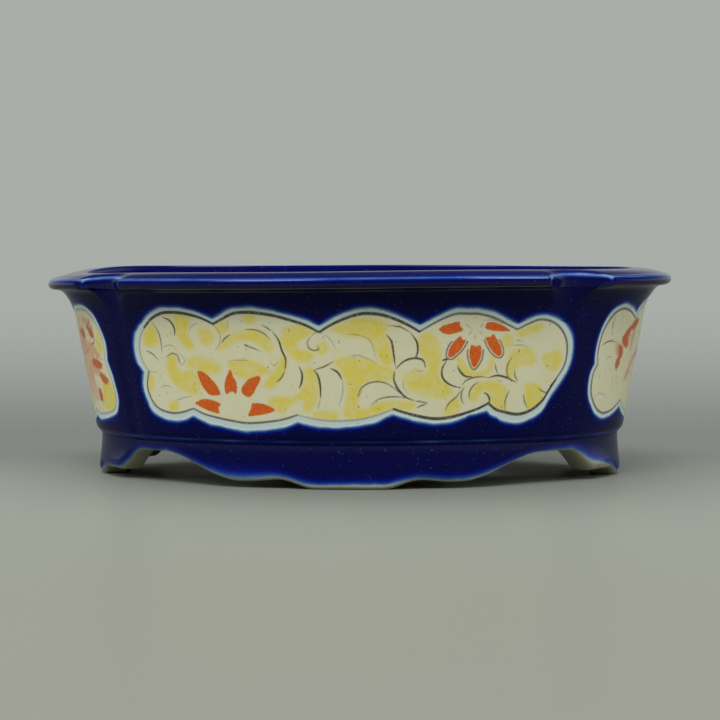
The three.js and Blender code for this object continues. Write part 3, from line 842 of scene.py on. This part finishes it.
def body_wall():
    """Wall with the painting on its outer face and some glaze down its inner one."""
    front_reach = 52
    along = np.concatenate([
        spaced(-front_reach, front_reach, FINE),
        spaced(front_reach, ROUND - front_reach, COARSE),
    ])
    angles = angle_at(PAINT_OVAL, along)
    last = WALL_TOP - FILLET_HEIGHT
    rows = np.concatenate([spaced(WALL_BOTTOM, last, FINE), np.linspace(last, WALL_TOP, 7)])
    outward = -BODY_STEP * (1 - ease(rows, WALL_BOTTOM, WALL_BOTTOM + CORNER_HEIGHT))
    flare = FLARE_REACH * np.clip((rows - FLARE_START) / FLARE_HEIGHT, 0, 1) ** 2
    fillet = LIP_FILLET * np.clip((rows - last) / FILLET_HEIGHT, 0, 1) ** 2.5
    room = NOTCH_DEPTH + notch_face(angles)[None]
    outer = outward[:, None] + rounded_min((flare + fillet)[:, None], room, FLARE_ROUNDING)

    paint_layers = wall_paint(along, rows)
    relief = PAINT_RELIEF * ease(paint_layers["glaze"], -0.2, 0.7)
    # Glaze thinned along the step's edge: a pale line that is partly real and partly a painted
    # highlight
    edge_width = 0.65
    thinned_and_highlight = close_to(rows - WALL_BOTTOM - CORNER_EDGE, edge_width)[:, None]
    thinned_and_highlight = thinned_and_highlight * (0.9 + 0.1 * ripple(23, along))
    most = DEEP_GLAZE - (DEEP_GLAZE - CORNER_GLAZE_AND_HIGHLIGHT) * thinned_and_highlight
    paint_layers["glaze"] = np.minimum(paint_layers["glaze"], most)
    face = swept(wall_oval(rows)[:, None], angles, outer + relief - PAINT_RELIEF, rows[:, None])

    inner_rows = np.concatenate([np.linspace(WALL_TOP, FLOOR_TOP, 24), [WALL_BOTTOM]])
    inner_half = wall_oval(np.maximum(inner_rows, FLOOR_TOP))[:, None]
    inner = swept(inner_half, angles, np.array([[-float(WALL_THICKNESS)]]), inner_rows[:, None])
    glaze_line = WALL_TOP - INNER_GLAZE_REACH + INNER_GLAZE_WAVE * ripple(21, along)
    blank = {name: np.full(inner.shape[:2], FAR) for name in PAINT_LAYERS}
    blank["darkness"] = np.zeros(inner.shape[:2])
    blank["glaze"] = (inner_rows[:, None] - glaze_line) * INNER_GLAZE_SLOPE

    points = np.concatenate([face, inner])
    layers = {name: np.concatenate([paint_layers[name], blank[name]]) for name in paint_layers}
    layers["inside"] = np.concatenate([np.zeros(face.shape[:2]), np.ones(inner.shape[:2])])
    return grid_piece("glazed_body_wall", points, True, layers)


# Lip


def lip_strip(name, start, end):
    """Lip from the bottom of one notch to the bottom of the next. Its section goes out under the
    lip, round the nose, up the hollow top to the ridge and down the inner face."""
    first, last = arc_at(RIM_OVAL, start), arc_at(RIM_OVAL, end)
    angles = angle_at(RIM_OVAL, np.linspace(first, last, int((last - first) / FINE)))
    face = notch_face(angles)[None]
    notched = np.maximum(-face / NOTCH_DEPTH, 0)
    thickness = NOSE_THICKNESS + NOTCHED_NOSE_RISE * notched
    turn = np.linspace(-math.pi / 2, math.pi / 2, 19)[:, None]
    back = 1 - np.cos(turn)
    edge = np.where(turn > 0, NOTCH_EDGE_ROUNDING * back, 0)
    horn = np.where(angles % 360 > BACK, LEFT_HORN_ROUNDING, RIGHT_HORN_ROUNDING)
    bulge, cut = -NOSE_DEPTH * back, face - edge
    nose = rounded_min(bulge, cut, horn)
    nose_height = WALL_TOP + thickness * (1 + np.sin(turn)) / 2
    inner_low = (LIP_INNER, WALL_TOP)
    nose_low = (nose[:1], WALL_TOP)
    nose_top = (nose[-1:], nose_height[-1:])
    top = POT_HEIGHT + RIDGE_LIFT
    ridge_out = (LIP_INNER + RIDGE_ROUNDING + RIDGE_WIDTH, top)
    slope_outward, slope_height = straight(nose_top, ridge_out, 10)
    left_to_rise = (top - slope_height) / (top - nose_height[-1:])
    slope = (slope_outward, top - (top - nose_height[-1:]) * left_to_rise**LIP_HOLLOW)
    ridge_in = (LIP_INNER + RIDGE_ROUNDING, top)
    inner_high = (LIP_INNER, top - RIDGE_ROUNDING)
    under = straight(inner_low, nose_low, 6)
    outward, height = section(
        under,
        (nose[1:], nose_height[1:]),
        slope,
        straight(ridge_out, ridge_in, 3),
        quarter_round(ridge_in, inner_high, 4, True),
        straight(inner_high, inner_low, 4),
    )
    points = swept(RIM_OVAL, angles, outward, height)

    upper_curve = 14  # row of the nose that glaze has run off most, under its painted highlight
    edge_gap = np.hypot(outward - nose[upper_curve], height - nose_height[upper_curve])
    ridge_gap = np.hypot(outward - LIP_INNER - RIDGE_MIDDLE, height - top)
    edge_width, ridge_width, horn_width = 0.6, 0.8, 0.7
    glaze = LIP_GLAZE + NOSE_GLAZE * ease(height, WALL_TOP + 2.2, WALL_TOP + 0.9)
    # Thin glaze along the nose's upper curve, in the notches and at the horns: pale lines that are
    # partly real and partly a painted highlight
    thin_glaze_and_highlight = LIP_EDGE_GLAZE_AND_HIGHLIGHT + (NOTCH_GLAZE_AND_HIGHLIGHT - LIP_EDGE_GLAZE_AND_HIGHLIGHT) * ease(notched, 0, 0.2)
    glaze = glaze - (LIP_GLAZE - thin_glaze_and_highlight) * close_to(edge_gap, edge_width)
    glaze = glaze - (LIP_GLAZE - RIDGE_GLAZE) * close_to(ridge_gap, ridge_width)
    nose_rows = slice(len(under[0]) - 1, len(under[0]) - 1 + len(nose))
    glaze[nose_rows] -= HORN_THINNING_AND_HIGHLIGHT * close_to(bulge - cut, horn_width)
    glaze = np.maximum(glaze, NOTCH_GLAZE_AND_HIGHLIGHT)
    return grid_piece(name, points, False, {"glaze": glaze})


# Feet


def foot_face(height):
    """Outward place of a foot's hollow outer face."""
    return FOOT_FLARE * np.maximum(1 - height / FOOT_HEIGHT, 0) ** 1.6


def foot_strip(name, middle, shape, rounding, wiped):
    """Foot a quarter of the way round. Its lower edge has a flat pad, a small cusp, a lobe and the
    flank of an arch on each side. Its glaze has been wiped off that much higher on the lobes."""
    middle_arc = arc_at(FOOT_OVAL, middle)
    reach = arc_at(FOOT_OVAL, middle + 45) - middle_arc
    spacing = 0.4
    distance = np.linspace(-reach, reach, 2 * int(reach / spacing) + 1)
    angles = angle_at(FOOT_OVAL, middle_arc + distance)
    away = np.abs(distance - (FRONT_FOOT_ASIDE if middle == FRONT else 0))
    cusp = ease(away, shape["pad"], shape["cusp"])
    lobe = (shape["lobe_height"] - CUSP_HEIGHT) * ease(away, shape["cusp"], shape["lobe"])
    flank = ease(away, *shape["flank"])
    low = (CUSP_HEIGHT * cusp + lobe + (ARCH_HEIGHT - shape["lobe_height"]) * flank)[None]
    edge = np.minimum(rounding, (FOOT_HEIGHT - low) / 2)
    splay = foot_face(low + edge)
    inner_low = (-FOOT_THICKNESS + 0 * low, low)
    under = (splay - edge, low)
    face_low = (splay, low + edge)
    face_high = (0 * low, FOOT_HEIGHT)
    inner_high = (-FOOT_THICKNESS + 0 * low, FOOT_HEIGHT)
    face_height = straight(face_low, face_high, 20)[1]
    outward, height = section(
        inner_low,
        straight(inner_low, under, 6),
        quarter_round(under, face_low, 8, True),
        (foot_face(face_height), face_height),
        straight(face_high, inner_high, 4),
        straight(inner_high, inner_low, 6),
    )
    outward, height = outward[:-1], height[:-1]
    points = swept(FOOT_OVAL, angles, outward, height)

    # The clay is bare up to a wavy line that is higher on the pad and lower up the flanks
    bare = FOOT_BARE + PAD_BARE * (1 - cusp) - FLANK_GLAZED * flank
    bare = bare + wiped * ease(away, 8, 21) * (1 - flank)
    bare = bare + FOOT_BARE_WAVE * ripple(middle + 31, distance)
    over_line = height - low - bare
    # From there the glaze gets deeper, fast up the flanks and slowly in one run left of the middle
    run_place, run_width = -24, 8
    spread = 1 - 0.3 * flank + 0.8 * close_to(distance - run_place, run_width)
    covered = np.interp(over_line / spread, list(FOOT_GLAZE), list(FOOT_GLAZE.values()))
    on_face = (height > low) & (outward > -edge)
    glaze = np.where(on_face & (over_line > 0), covered, over_line * on_face - 0.05)
    seam_with_body = FOOT_HEIGHT - 0.6
    glaze = np.where(height > seam_with_body, FOOT_TOP_GLAZE, glaze)
    return grid_piece(name, points, False, {"glaze": glaze})


# Floor and coil


def circle(diameter, x, y, count):
    turn = np.radians(360 / count * np.arange(count))
    return np.stack([x + diameter / 2 * np.cos(turn), y + diameter / 2 * np.sin(turn)], -1)


def floor_slab():
    """Floor with two drainage holes and four wire holes, its edges slightly rounded."""
    rounding = 0.4
    edge = np.arange(0, 360, 2.5)
    outline = oval_point(wall_oval(FLOOR_TOP), edge, -(WALL_THICKNESS + SEAM + rounding))
    loops = [outline]
    for side in (-0.5, 0.5):
        loops.append(circle(DRAIN_DIAMETER + 2 * rounding, side * DRAIN_SPACING, 0, 48))
        for across in (-0.5, 0.5):
            x, y = side * WIRE_HOLE_SPACING[0], across * WIRE_HOLE_SPACING[1]
            loops.append(circle(WIRE_HOLE_DIAMETER + 2 * rounding, x, y, 20))
    curve = bpy.data.curves.new("floor_outline", "CURVE")
    curve.dimensions = "2D"
    curve.fill_mode = "BOTH"
    curve.extrude = (FLOOR_THICKNESS / 2 - rounding) * MM
    curve.bevel_depth = rounding * MM
    curve.bevel_resolution = 3
    for loop in loops:
        spline = curve.splines.new("POLY")
        spline.points.add(len(loop) - 1)
        spline.use_cyclic_u = True
        for point, (x, y) in zip(spline.points, loop):
            point.co = (x * MM, y * MM, 0, 1)
    drawn = bpy.data.objects.new("floor_outline", curve)
    mesh = bpy.data.meshes.new_from_object(drawn)
    bpy.data.objects.remove(drawn)
    mesh.name = "clay_floor"
    places = np.empty(len(mesh.vertices) * 3)
    mesh.vertices.foreach_get("co", places)
    places = places.reshape(-1, 3) / MM + [0, 0, (WALL_BOTTOM + FLOOR_TOP) / 2]
    mesh.vertices.foreach_set("co", (fired(places) * MM).ravel())
    mesh.update()
    return placed("clay_floor", mesh)


def inside_coil():
    """Coil pressed into the corner of floor and wall by finger, with a hollow face."""
    angles = np.linspace(0, 360, 300, endpoint=False)
    inset = -(WALL_THICKNESS + SEAM)
    press = 1 + 0.1 * ripple(41, arc_at(PAINT_OVAL, angles))
    size = COIL_RADIUS * press[None]
    turn = np.linspace(0, math.pi / 2, 9)[::-1, None]
    corner = (inset + 0 * size, FLOOR_TOP + 0 * size)
    hollow = (inset - size * (1 - np.sin(turn)), FLOOR_TOP + size * (1 - np.cos(turn)))
    outward, height = section(corner, hollow)
    half = wall_oval(np.minimum(height, FLOOR_TOP + COIL_RADIUS))
    points = swept(half, angles, outward, height)
    return grid_piece("pressed_coil", points[::-1], True)


# Materials


def srgb(*channels):
    """Colour written as 0 to 255, as Blender's linear values."""
    shares = [value / 255 for value in channels]
    return [s / 12.92 if s <= 0.04045 else ((s + 0.055) / 1.055) ** 2.4 for s in shares]


# Specular levels of the lip and the feet, the painted wall, and the clay
GLAZE_SHINE = 0.5
PAINTED_SHINE = 0.15
CLAY_SHINE = 0.3
# Depths of the bumps in millimetres
GLAZE_BUMP = 0.12
CLAY_BUMP = 0.25

# Blue glaze by its depth in millimetres
GLAZE_TONES = {
    0: (127, 154, 158),
    0.22: (98, 126, 150),
    0.42: (58, 84, 128),
    0.6: (22, 54, 124),
    0.8: (10, 36, 112),
    1.05: (3, 13, 92),
    1.5: (1, 5, 68),
    2.2: (3, 4, 52),
}
ENAMEL_WHITE = srgb(176, 190, 186)
ENAMEL_CREAM = srgb(197, 194, 162)
YELLOW = srgb(198, 184, 76)
DEEP_YELLOW = srgb(216, 168, 30)
ORANGE = srgb(190, 84, 26)
PALE_ORANGE = srgb(202, 124, 64)
WORN_ORANGE = srgb(176, 98, 60)
BLUSH = srgb(192, 144, 112)
INK = srgb(52, 48, 30)
CLAY = srgb(160, 158, 134)
CLAY_DARK = srgb(132, 128, 104)
PALE_SPECK = srgb(120, 135, 170)


class Link:
    """Output of a node, with arithmetic that adds Math nodes."""

    def __init__(self, shader, socket):
        self.shader = shader
        self.socket = socket

    def math(self, operation, *values):
        return self.shader.node("ShaderNodeMath", {"operation": operation}, values)

    def __add__(self, other):
        return self.math("ADD", self, other)

    def __sub__(self, other):
        return self.math("SUBTRACT", self, other)

    def __rsub__(self, other):
        return self.math("SUBTRACT", other, self)

    def __mul__(self, other):
        return self.math("MULTIPLY", self, other)

    __radd__ = __add__
    __rmul__ = __mul__


class Shader:
    """Nodes of one material or world."""

    def __init__(self, owner, place="Object"):
        self.owner = owner
        owner.use_nodes = True
        owner.node_tree.nodes.clear()
        self.place = self.node("ShaderNodeTexCoord", outputs=[place])

    def node(self, kind, settings=None, sockets=(), outputs=(0,)):
        """Adds a node: its settings first, then the values or links of its sockets, in order or
        by number or name. Returns the asked outputs."""
        node = self.owner.node_tree.nodes.new(kind)
        for name, value in (settings or {}).items():
            if name == "stops":
                set_stops(node.color_ramp.elements, value)
            else:
                setattr(node, name, value)
        named = sockets if isinstance(sockets, dict) else dict(enumerate(sockets))
        for name, value in named.items():
            socket = node.inputs[name]
            if isinstance(value, Link):
                self.owner.node_tree.links.new(value.socket, socket)
            else:
                socket.default_value = (*value, 1) if socket.type == "RGBA" else value
        links = [Link(self, node.outputs[name]) for name in outputs]
        return links[0] if len(links) == 1 else links

    def layer(self, name):
        """Number stored on the mesh under this name."""
        return self.node("ShaderNodeAttribute", {"attribute_name": name}, outputs=["Fac"])

    def noise(self, size, detail=2, roughness=0.5):
        """Soft noise from 0 to 1 whose spots are about this size."""
        sockets = {"Vector": self.place, "Scale": 1 / (size * MM)}
        sockets.update({"Detail": detail, "Roughness": roughness})
        return self.node("ShaderNodeTexNoise", None, sockets)

    def step(self, value, start, end):
        """0 up to the start, 1 from the end on, eased between; the start may be the higher."""
        settings = {"interpolation_type": "SMOOTHSTEP"}
        low, high, first, last = (start, end, 0, 1) if start < end else (end, start, 1, 0)
        return self.node("ShaderNodeMapRange", settings, [value, low, high, first, last])

    def mix(self, factor, first, second):
        """Colour from the first to the second."""
        sockets = {0: factor, 6: first, 7: second}
        return self.node("ShaderNodeMix", {"data_type": "RGBA"}, sockets, [2])

    def ramp(self, value, stops):
        return self.node("ShaderNodeValToRGB", {"stops": stops}, [value])

    def finish(self, colour, roughness, height, depth, shine):
        """Ends the material: a bump from a height of 0 to 1, that deep in millimetres."""
        sockets = {"Height": height, "Strength": 1, "Distance": depth * MM}
        bump = self.node("ShaderNodeBump", None, sockets)
        sockets = {"Base Color": colour, "Roughness": roughness, "Normal": bump}
        sockets["Specular IOR Level"] = shine
        surface = self.node("ShaderNodeBsdfPrincipled", None, sockets)
        self.node("ShaderNodeOutputMaterial", None, [surface], [])
        return self.owner


def set_stops(elements, stops):
    while len(elements) < len(stops):
        elements.new(1)
    for element, (position, colour) in zip(elements, stops):
        element.position = position
        element.color = (*colour, 1)


def clay_layer(shader):
    """Colour and height of bare fired clay: fine grain, dark specks and soft stains."""
    grain = shader.noise(0.35, 4, 0.6)
    stain = shader.noise(9, 3)
    speck = shader.step(shader.noise(0.8, 1), 0.7, 0.76)
    colour = shader.mix(shader.step(stain * 0.7 + grain * 0.3, 0.35, 0.7), CLAY, CLAY_DARK)
    return shader.mix(speck * 0.5, colour, INK), grain


def glaze_layer(shader, thickness):
    """Colour of the blue glaze: it runs from pale where it is thin to nearly black where it is
    thick, with cloudy patches and tiny pale specks."""
    cloud = shader.noise(7, 3, 0.55)
    fine = shader.noise(0.5, 2)
    run = thickness + (cloud - 0.5) * 0.4 + (fine - 0.5) * 0.2
    deepest = max(GLAZE_TONES)
    stops = [(depth / deepest, srgb(*tone)) for depth, tone in GLAZE_TONES.items()]
    colour = shader.ramp(run * (1 / deepest), stops)
    speck = shader.step(shader.noise(0.42, 0), 0.77, 0.82)
    return shader.mix(speck * 0.12, colour, PALE_SPECK)


def glaze_material():
    """Blue glaze with bare clay where it has been wiped off or has run thin at the foot."""
    shader = Shader(bpy.data.materials.new("blue_glaze"))
    thickness = shader.layer("glaze")
    covered = shader.step(thickness + (shader.noise(0.6, 2) - 0.5) * 0.25, -0.06, 0.06)
    clay, grain = clay_layer(shader)
    colour = shader.mix(covered, clay, glaze_layer(shader, thickness))
    roughness = 0.85 - covered * 0.75 + shader.noise(3, 2) * 0.05
    height = (1 - covered) * grain * 0.5 + covered * shader.noise(1.6, 1) * 0.12
    return shader.finish(colour, roughness, height, GLAZE_BUMP, GLAZE_SHINE)


def painted_material():
    """Blue glaze round white panels with ink scrolls, yellow washes and orange petals, and bare
    clay on the inside."""
    shader = Shader(bpy.data.materials.new("painted_glaze"))
    thickness = shader.layer("glaze")
    rough_edge = (shader.noise(0.9, 3) - 0.5) * 0.6
    covered = shader.step(thickness + rough_edge, -0.1, 0.12)

    mottle = shader.noise(2.6, 3, 0.6)
    streak = shader.noise(0.5, 3, 0.6)
    inside_outline = shader.step(shader.layer("outline"), 0.1, -0.3)
    ground = shader.mix(inside_outline * 0.9, ENAMEL_WHITE, ENAMEL_CREAM)
    ground = shader.mix(inside_outline * shader.step(mottle, 0.4, 0.75) * 0.25, ground, YELLOW)
    wash_edge = shader.layer("washes") + (mottle - 0.5) * 1.1 + (streak - 0.5) * 0.5
    wash = shader.step(wash_edge, 0.95, -0.35) * inside_outline
    density = 0.5 + shader.step(mottle * 0.6 + streak * 0.4, 0.35, 0.62) * 0.5
    ground = shader.mix(wash * density, ground, YELLOW)
    worn = (streak - 0.5) * 1.2 + (mottle - 0.5) * 3
    blush = shader.step(shader.layer("blush") + worn, 0.5, -0.7)
    ground = shader.mix(blush * 0.8, ground, BLUSH)
    orange = shader.mix(shader.step(streak, 0.4, 0.75) * 0.45, ORANGE, PALE_ORANGE)
    for name, raggedness, start, end, enamel in (
        ("dabs", 1.2, 0.3, -0.4, WORN_ORANGE),
        ("petals", 0.4, 0.1, -0.16, orange),
        ("dots", 0, 0.1, -0.1, DEEP_YELLOW),
    ):
        shown = shader.step(shader.layer(name) + (streak - 0.5) * raggedness, start, end)
        ground = shader.mix(shown, ground, enamel)
    drag = shader.step(streak, 0.25, 0.55) * 0.35 + 0.65
    line = shader.step(shader.layer("ink") + (streak - 0.5) * 0.12, 0.1, -0.1)
    ground = shader.mix(line * drag * shader.layer("darkness"), ground, INK)
    iron = shader.step(shader.noise(0.55, 0), 0.82, 0.85)
    ground = shader.mix(iron * 0.6, ground, INK)

    clay, grain = clay_layer(shader)
    inside = shader.layer("inside")
    under = shader.mix(inside, ground, clay)
    colour = shader.mix(covered, under, glaze_layer(shader, thickness))
    bare = inside * (1 - covered)
    roughness = 0.1 + bare * 0.75 + (1 - covered) * (1 - inside) * 0.2 + mottle * 0.05
    height = bare * grain * 0.5 + covered * shader.noise(1.6, 1) * 0.12
    return shader.finish(colour, roughness, height, GLAZE_BUMP, PAINTED_SHINE)


def clay_material():
    """Bare clay with the drag marks of a tool."""
    shader = Shader(bpy.data.materials.new("bare_clay"))
    colour, grain = clay_layer(shader)
    drag = shader.noise(2.5, 3, 0.6)
    roughness = 0.8 + grain * 0.15
    height = grain * 0.4 + drag * 0.6
    return shader.finish(colour, roughness, height, CLAY_BUMP, CLAY_SHINE)


# Pieces

glaze = glaze_material()
painted = painted_material()
clay = clay_material()


def stands_for(piece, node, material):
    piece.data.materials.append(material)
    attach(piece, "root")
    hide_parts(node)


stands_for(body_wall(), "body_wall", painted)
corners = [-LEFT_NOTCH_ANGLE, *NOTCHES]
for side, start, end in zip(("front", "right", "back", "left"), corners, corners[1:]):
    stands_for(lip_strip(f"glazed_{side}_lip", start, end), f"{side}_lip", glaze)
# Of each foot: middle, shape, rounding of its lower edge and how much higher it was wiped
FEET = {
    "front": (FRONT, LONG_FOOT, 1.2, 0),
    "right": (RIGHT, END_FOOT, 2, 1.4),
    "back": (BACK, LONG_FOOT, 1.2, 0),
    "left": (LEFT, END_FOOT, 2, 0),
}
for side, foot in FEET.items():
    stands_for(foot_strip(f"glazed_{side}_foot", *foot), f"{side}_foot", glaze)
stands_for(floor_slab(), "floor_slab", clay)
stands_for(inside_coil(), "inside_coil", clay)


# Stage, light and camera

BACKDROP = srgb(169, 174, 168)
DIM_ROOM = srgb(60, 62, 66)
# Light from above, from low in front, behind and at both sides, and from the horizon
EVEN_LIGHT = [1.15] * 3
LOW_FRONT_LIGHT = [0.1] * 3
LOW_BACK_LIGHT = [1.7] * 3
SIDE_LIGHT = [4.4] * 3
HORIZON_LIGHT = [0.04] * 3
# Directions of the two soft boxes that the glaze mirrors, and the cosine of their half-width
SOFT_BOXES = [(-0.31, -0.1, 0.945), (0.46, 0.07, 0.885)]
BOX_EDGE = 0.988
BOX_SOFTNESS = 0.01
BOX_GLARE = (5, 5.5, 6.4)
# Of two suns: strength, how wide they look, and how far they stand to the front and aside
LAMPS = {"front_lamp": (2.4, 25, 40, -4), "top_lamp": (1.2, 60, -35, -15)}
FLOOR_SHINE = 0.1
MIRRORED_FLOOR_SHADE = 0.45  # how much darker than it looks the glaze mirrors the floor near the pot: painted shade in the reflection
FLOOR_LIGHT = 1.97  # how much brighter than its own colour the floor looks in this light
# Tones that the floor is to have by metres behind the pot's middle, darker just behind the pot with
# painted shade
FLOOR_TONES_AND_SHADE = {
    -0.2: (156, 158, 146),
    -0.03: (156, 162, 152),
    0.04: (128, 133, 127),
    0.12: (125, 129, 124),
    0.21: (132, 137, 132),
    0.35: (144, 149, 144),
    0.55: (153, 158, 153),
    0.85: (160, 165, 159),
    1.3: (164, 169, 163),
}


def studio_floor():
    """Pale floor that darkens softly behind the pot with painted shade and runs out into the
    backdrop, in metres.
    """
    side, near, far = 6, -1.5, 8
    mesh = bpy.data.meshes.new("studio_floor")
    corners = [(-side, near, 0), (side, near, 0), (side, far, 0), (-side, far, 0)]
    mesh.from_pydata(corners, [], [(0, 1, 2, 3)])
    shader = Shader(bpy.data.materials.new("studio_floor"))
    away = shader.node("ShaderNodeSeparateXYZ", None, [shader.place], ["Y"])
    start, length = min(FLOOR_TONES_AND_SHADE), 1.5
    stops = []
    for y, tone in FLOOR_TONES_AND_SHADE.items():
        stops.append(((y - start) / length, [channel / FLOOR_LIGHT for channel in srgb(*tone)]))
    colour = shader.ramp((away - start) * (1 / length), stops)
    # The glaze mirrors the floor near the pot darker than it is: painted shade
    mirrored_floor = shader.node("ShaderNodeLightPath", outputs=["Is Glossy Ray"])
    near_floor_shade = shader.step(away, 0.3, 0) * 0.5 + 0.5
    colour = shader.mix(mirrored_floor * near_floor_shade * MIRRORED_FLOOR_SHADE, colour, (0, 0, 0))
    matt = shader.node("ShaderNodeBsdfDiffuse", None, [colour])
    shine = shader.node("ShaderNodeBsdfGlossy", None, {"Color": [0.9] * 3, "Roughness": 0.3})
    shown = (1 - mirrored_floor) * FLOOR_SHINE
    surface = shader.node("ShaderNodeMixShader", None, [shown, matt, shine])
    shader.node("ShaderNodeOutputMaterial", None, [surface], [])
    mesh.materials.append(shader.owner)
    placed("studio_floor", mesh)


def studio_light():
    """Light from all round, strong low down at both sides and behind, weak low in front and at the
    horizon, and two wide suns that the glaze does not mirror. The camera sees only the backdrop.
    The glaze mirrors it low down behind the pot, and elsewhere a dim room with two soft boxes."""
    shader = Shader(bpy.data.worlds.new("studio"), "Generated")
    across, away, up = shader.node("ShaderNodeSeparateXYZ", None, [shader.place], "XYZ")
    low = shader.step(up, 0.4, 0.12)
    reflected = shader.mix(shader.step(away, 0, 0.5) * low, DIM_ROOM, BACKDROP)
    dot_product = {"operation": "DOT_PRODUCT"}
    for box in SOFT_BOXES:
        facing = shader.node("ShaderNodeVectorMath", dot_product, [shader.place, box], ["Value"])
        in_box = shader.step(facing, BOX_EDGE - BOX_SOFTNESS, BOX_EDGE)
        reflected = shader.mix(in_box, reflected, BOX_GLARE)
    low_down = shader.step(up, 0.55, 0.15)
    light = shader.mix(shader.step(away, -0.1, -0.6) * low_down, EVEN_LIGHT, LOW_FRONT_LIGHT)
    light = shader.mix(shader.step(away, 0.2, 0.6) * low_down, light, LOW_BACK_LIGHT)
    sideways = shader.step(across.math("ABSOLUTE", across), 0.6, 0.85)
    light = shader.mix(sideways * low_down, light, SIDE_LIGHT)
    light = shader.mix(shader.step(up, 0.26, 0.08), light, HORIZON_LIGHT)
    seen, glossy = shader.node("ShaderNodeLightPath", outputs=["Is Camera Ray", "Is Glossy Ray"])
    colour = shader.mix(seen, shader.mix(glossy, light, reflected), BACKDROP)
    background = shader.node("ShaderNodeBackground", None, [colour, 1])
    shader.node("ShaderNodeOutputWorld", None, [background], [])
    bpy.context.scene.world = shader.owner
    for name, (energy, spread, tip, aside) in LAMPS.items():
        lamp = bpy.data.lights.new(name, "SUN")
        lamp.energy = energy
        lamp.angle = math.radians(spread)
        holder = placed(name, lamp)
        holder.rotation_euler = (math.radians(tip), math.radians(aside), 0)
        holder.visible_glossy = False


def photo_camera():
    """The photograph's camera: far off with a long lens, just above the rim."""
    away, height = 585, 52.3
    turn, tilt, aside = 2, 2.66, 0.022
    data = bpy.data.cameras.new("camera")
    data.sensor_width = 36
    data.lens = 130
    data.clip_start = 0.05
    data.clip_end = 50
    camera = placed("camera", data)
    around = math.radians(turn)
    camera.location = (away * math.sin(around) * MM, -away * math.cos(around) * MM, height * MM)
    camera.rotation_euler = (math.radians(90 - tilt), 0, math.radians(turn - aside))
    bpy.context.scene.camera = camera


studio_floor()
studio_light()
photo_camera()
bpy.context.scene.view_settings.view_transform = "Standard"
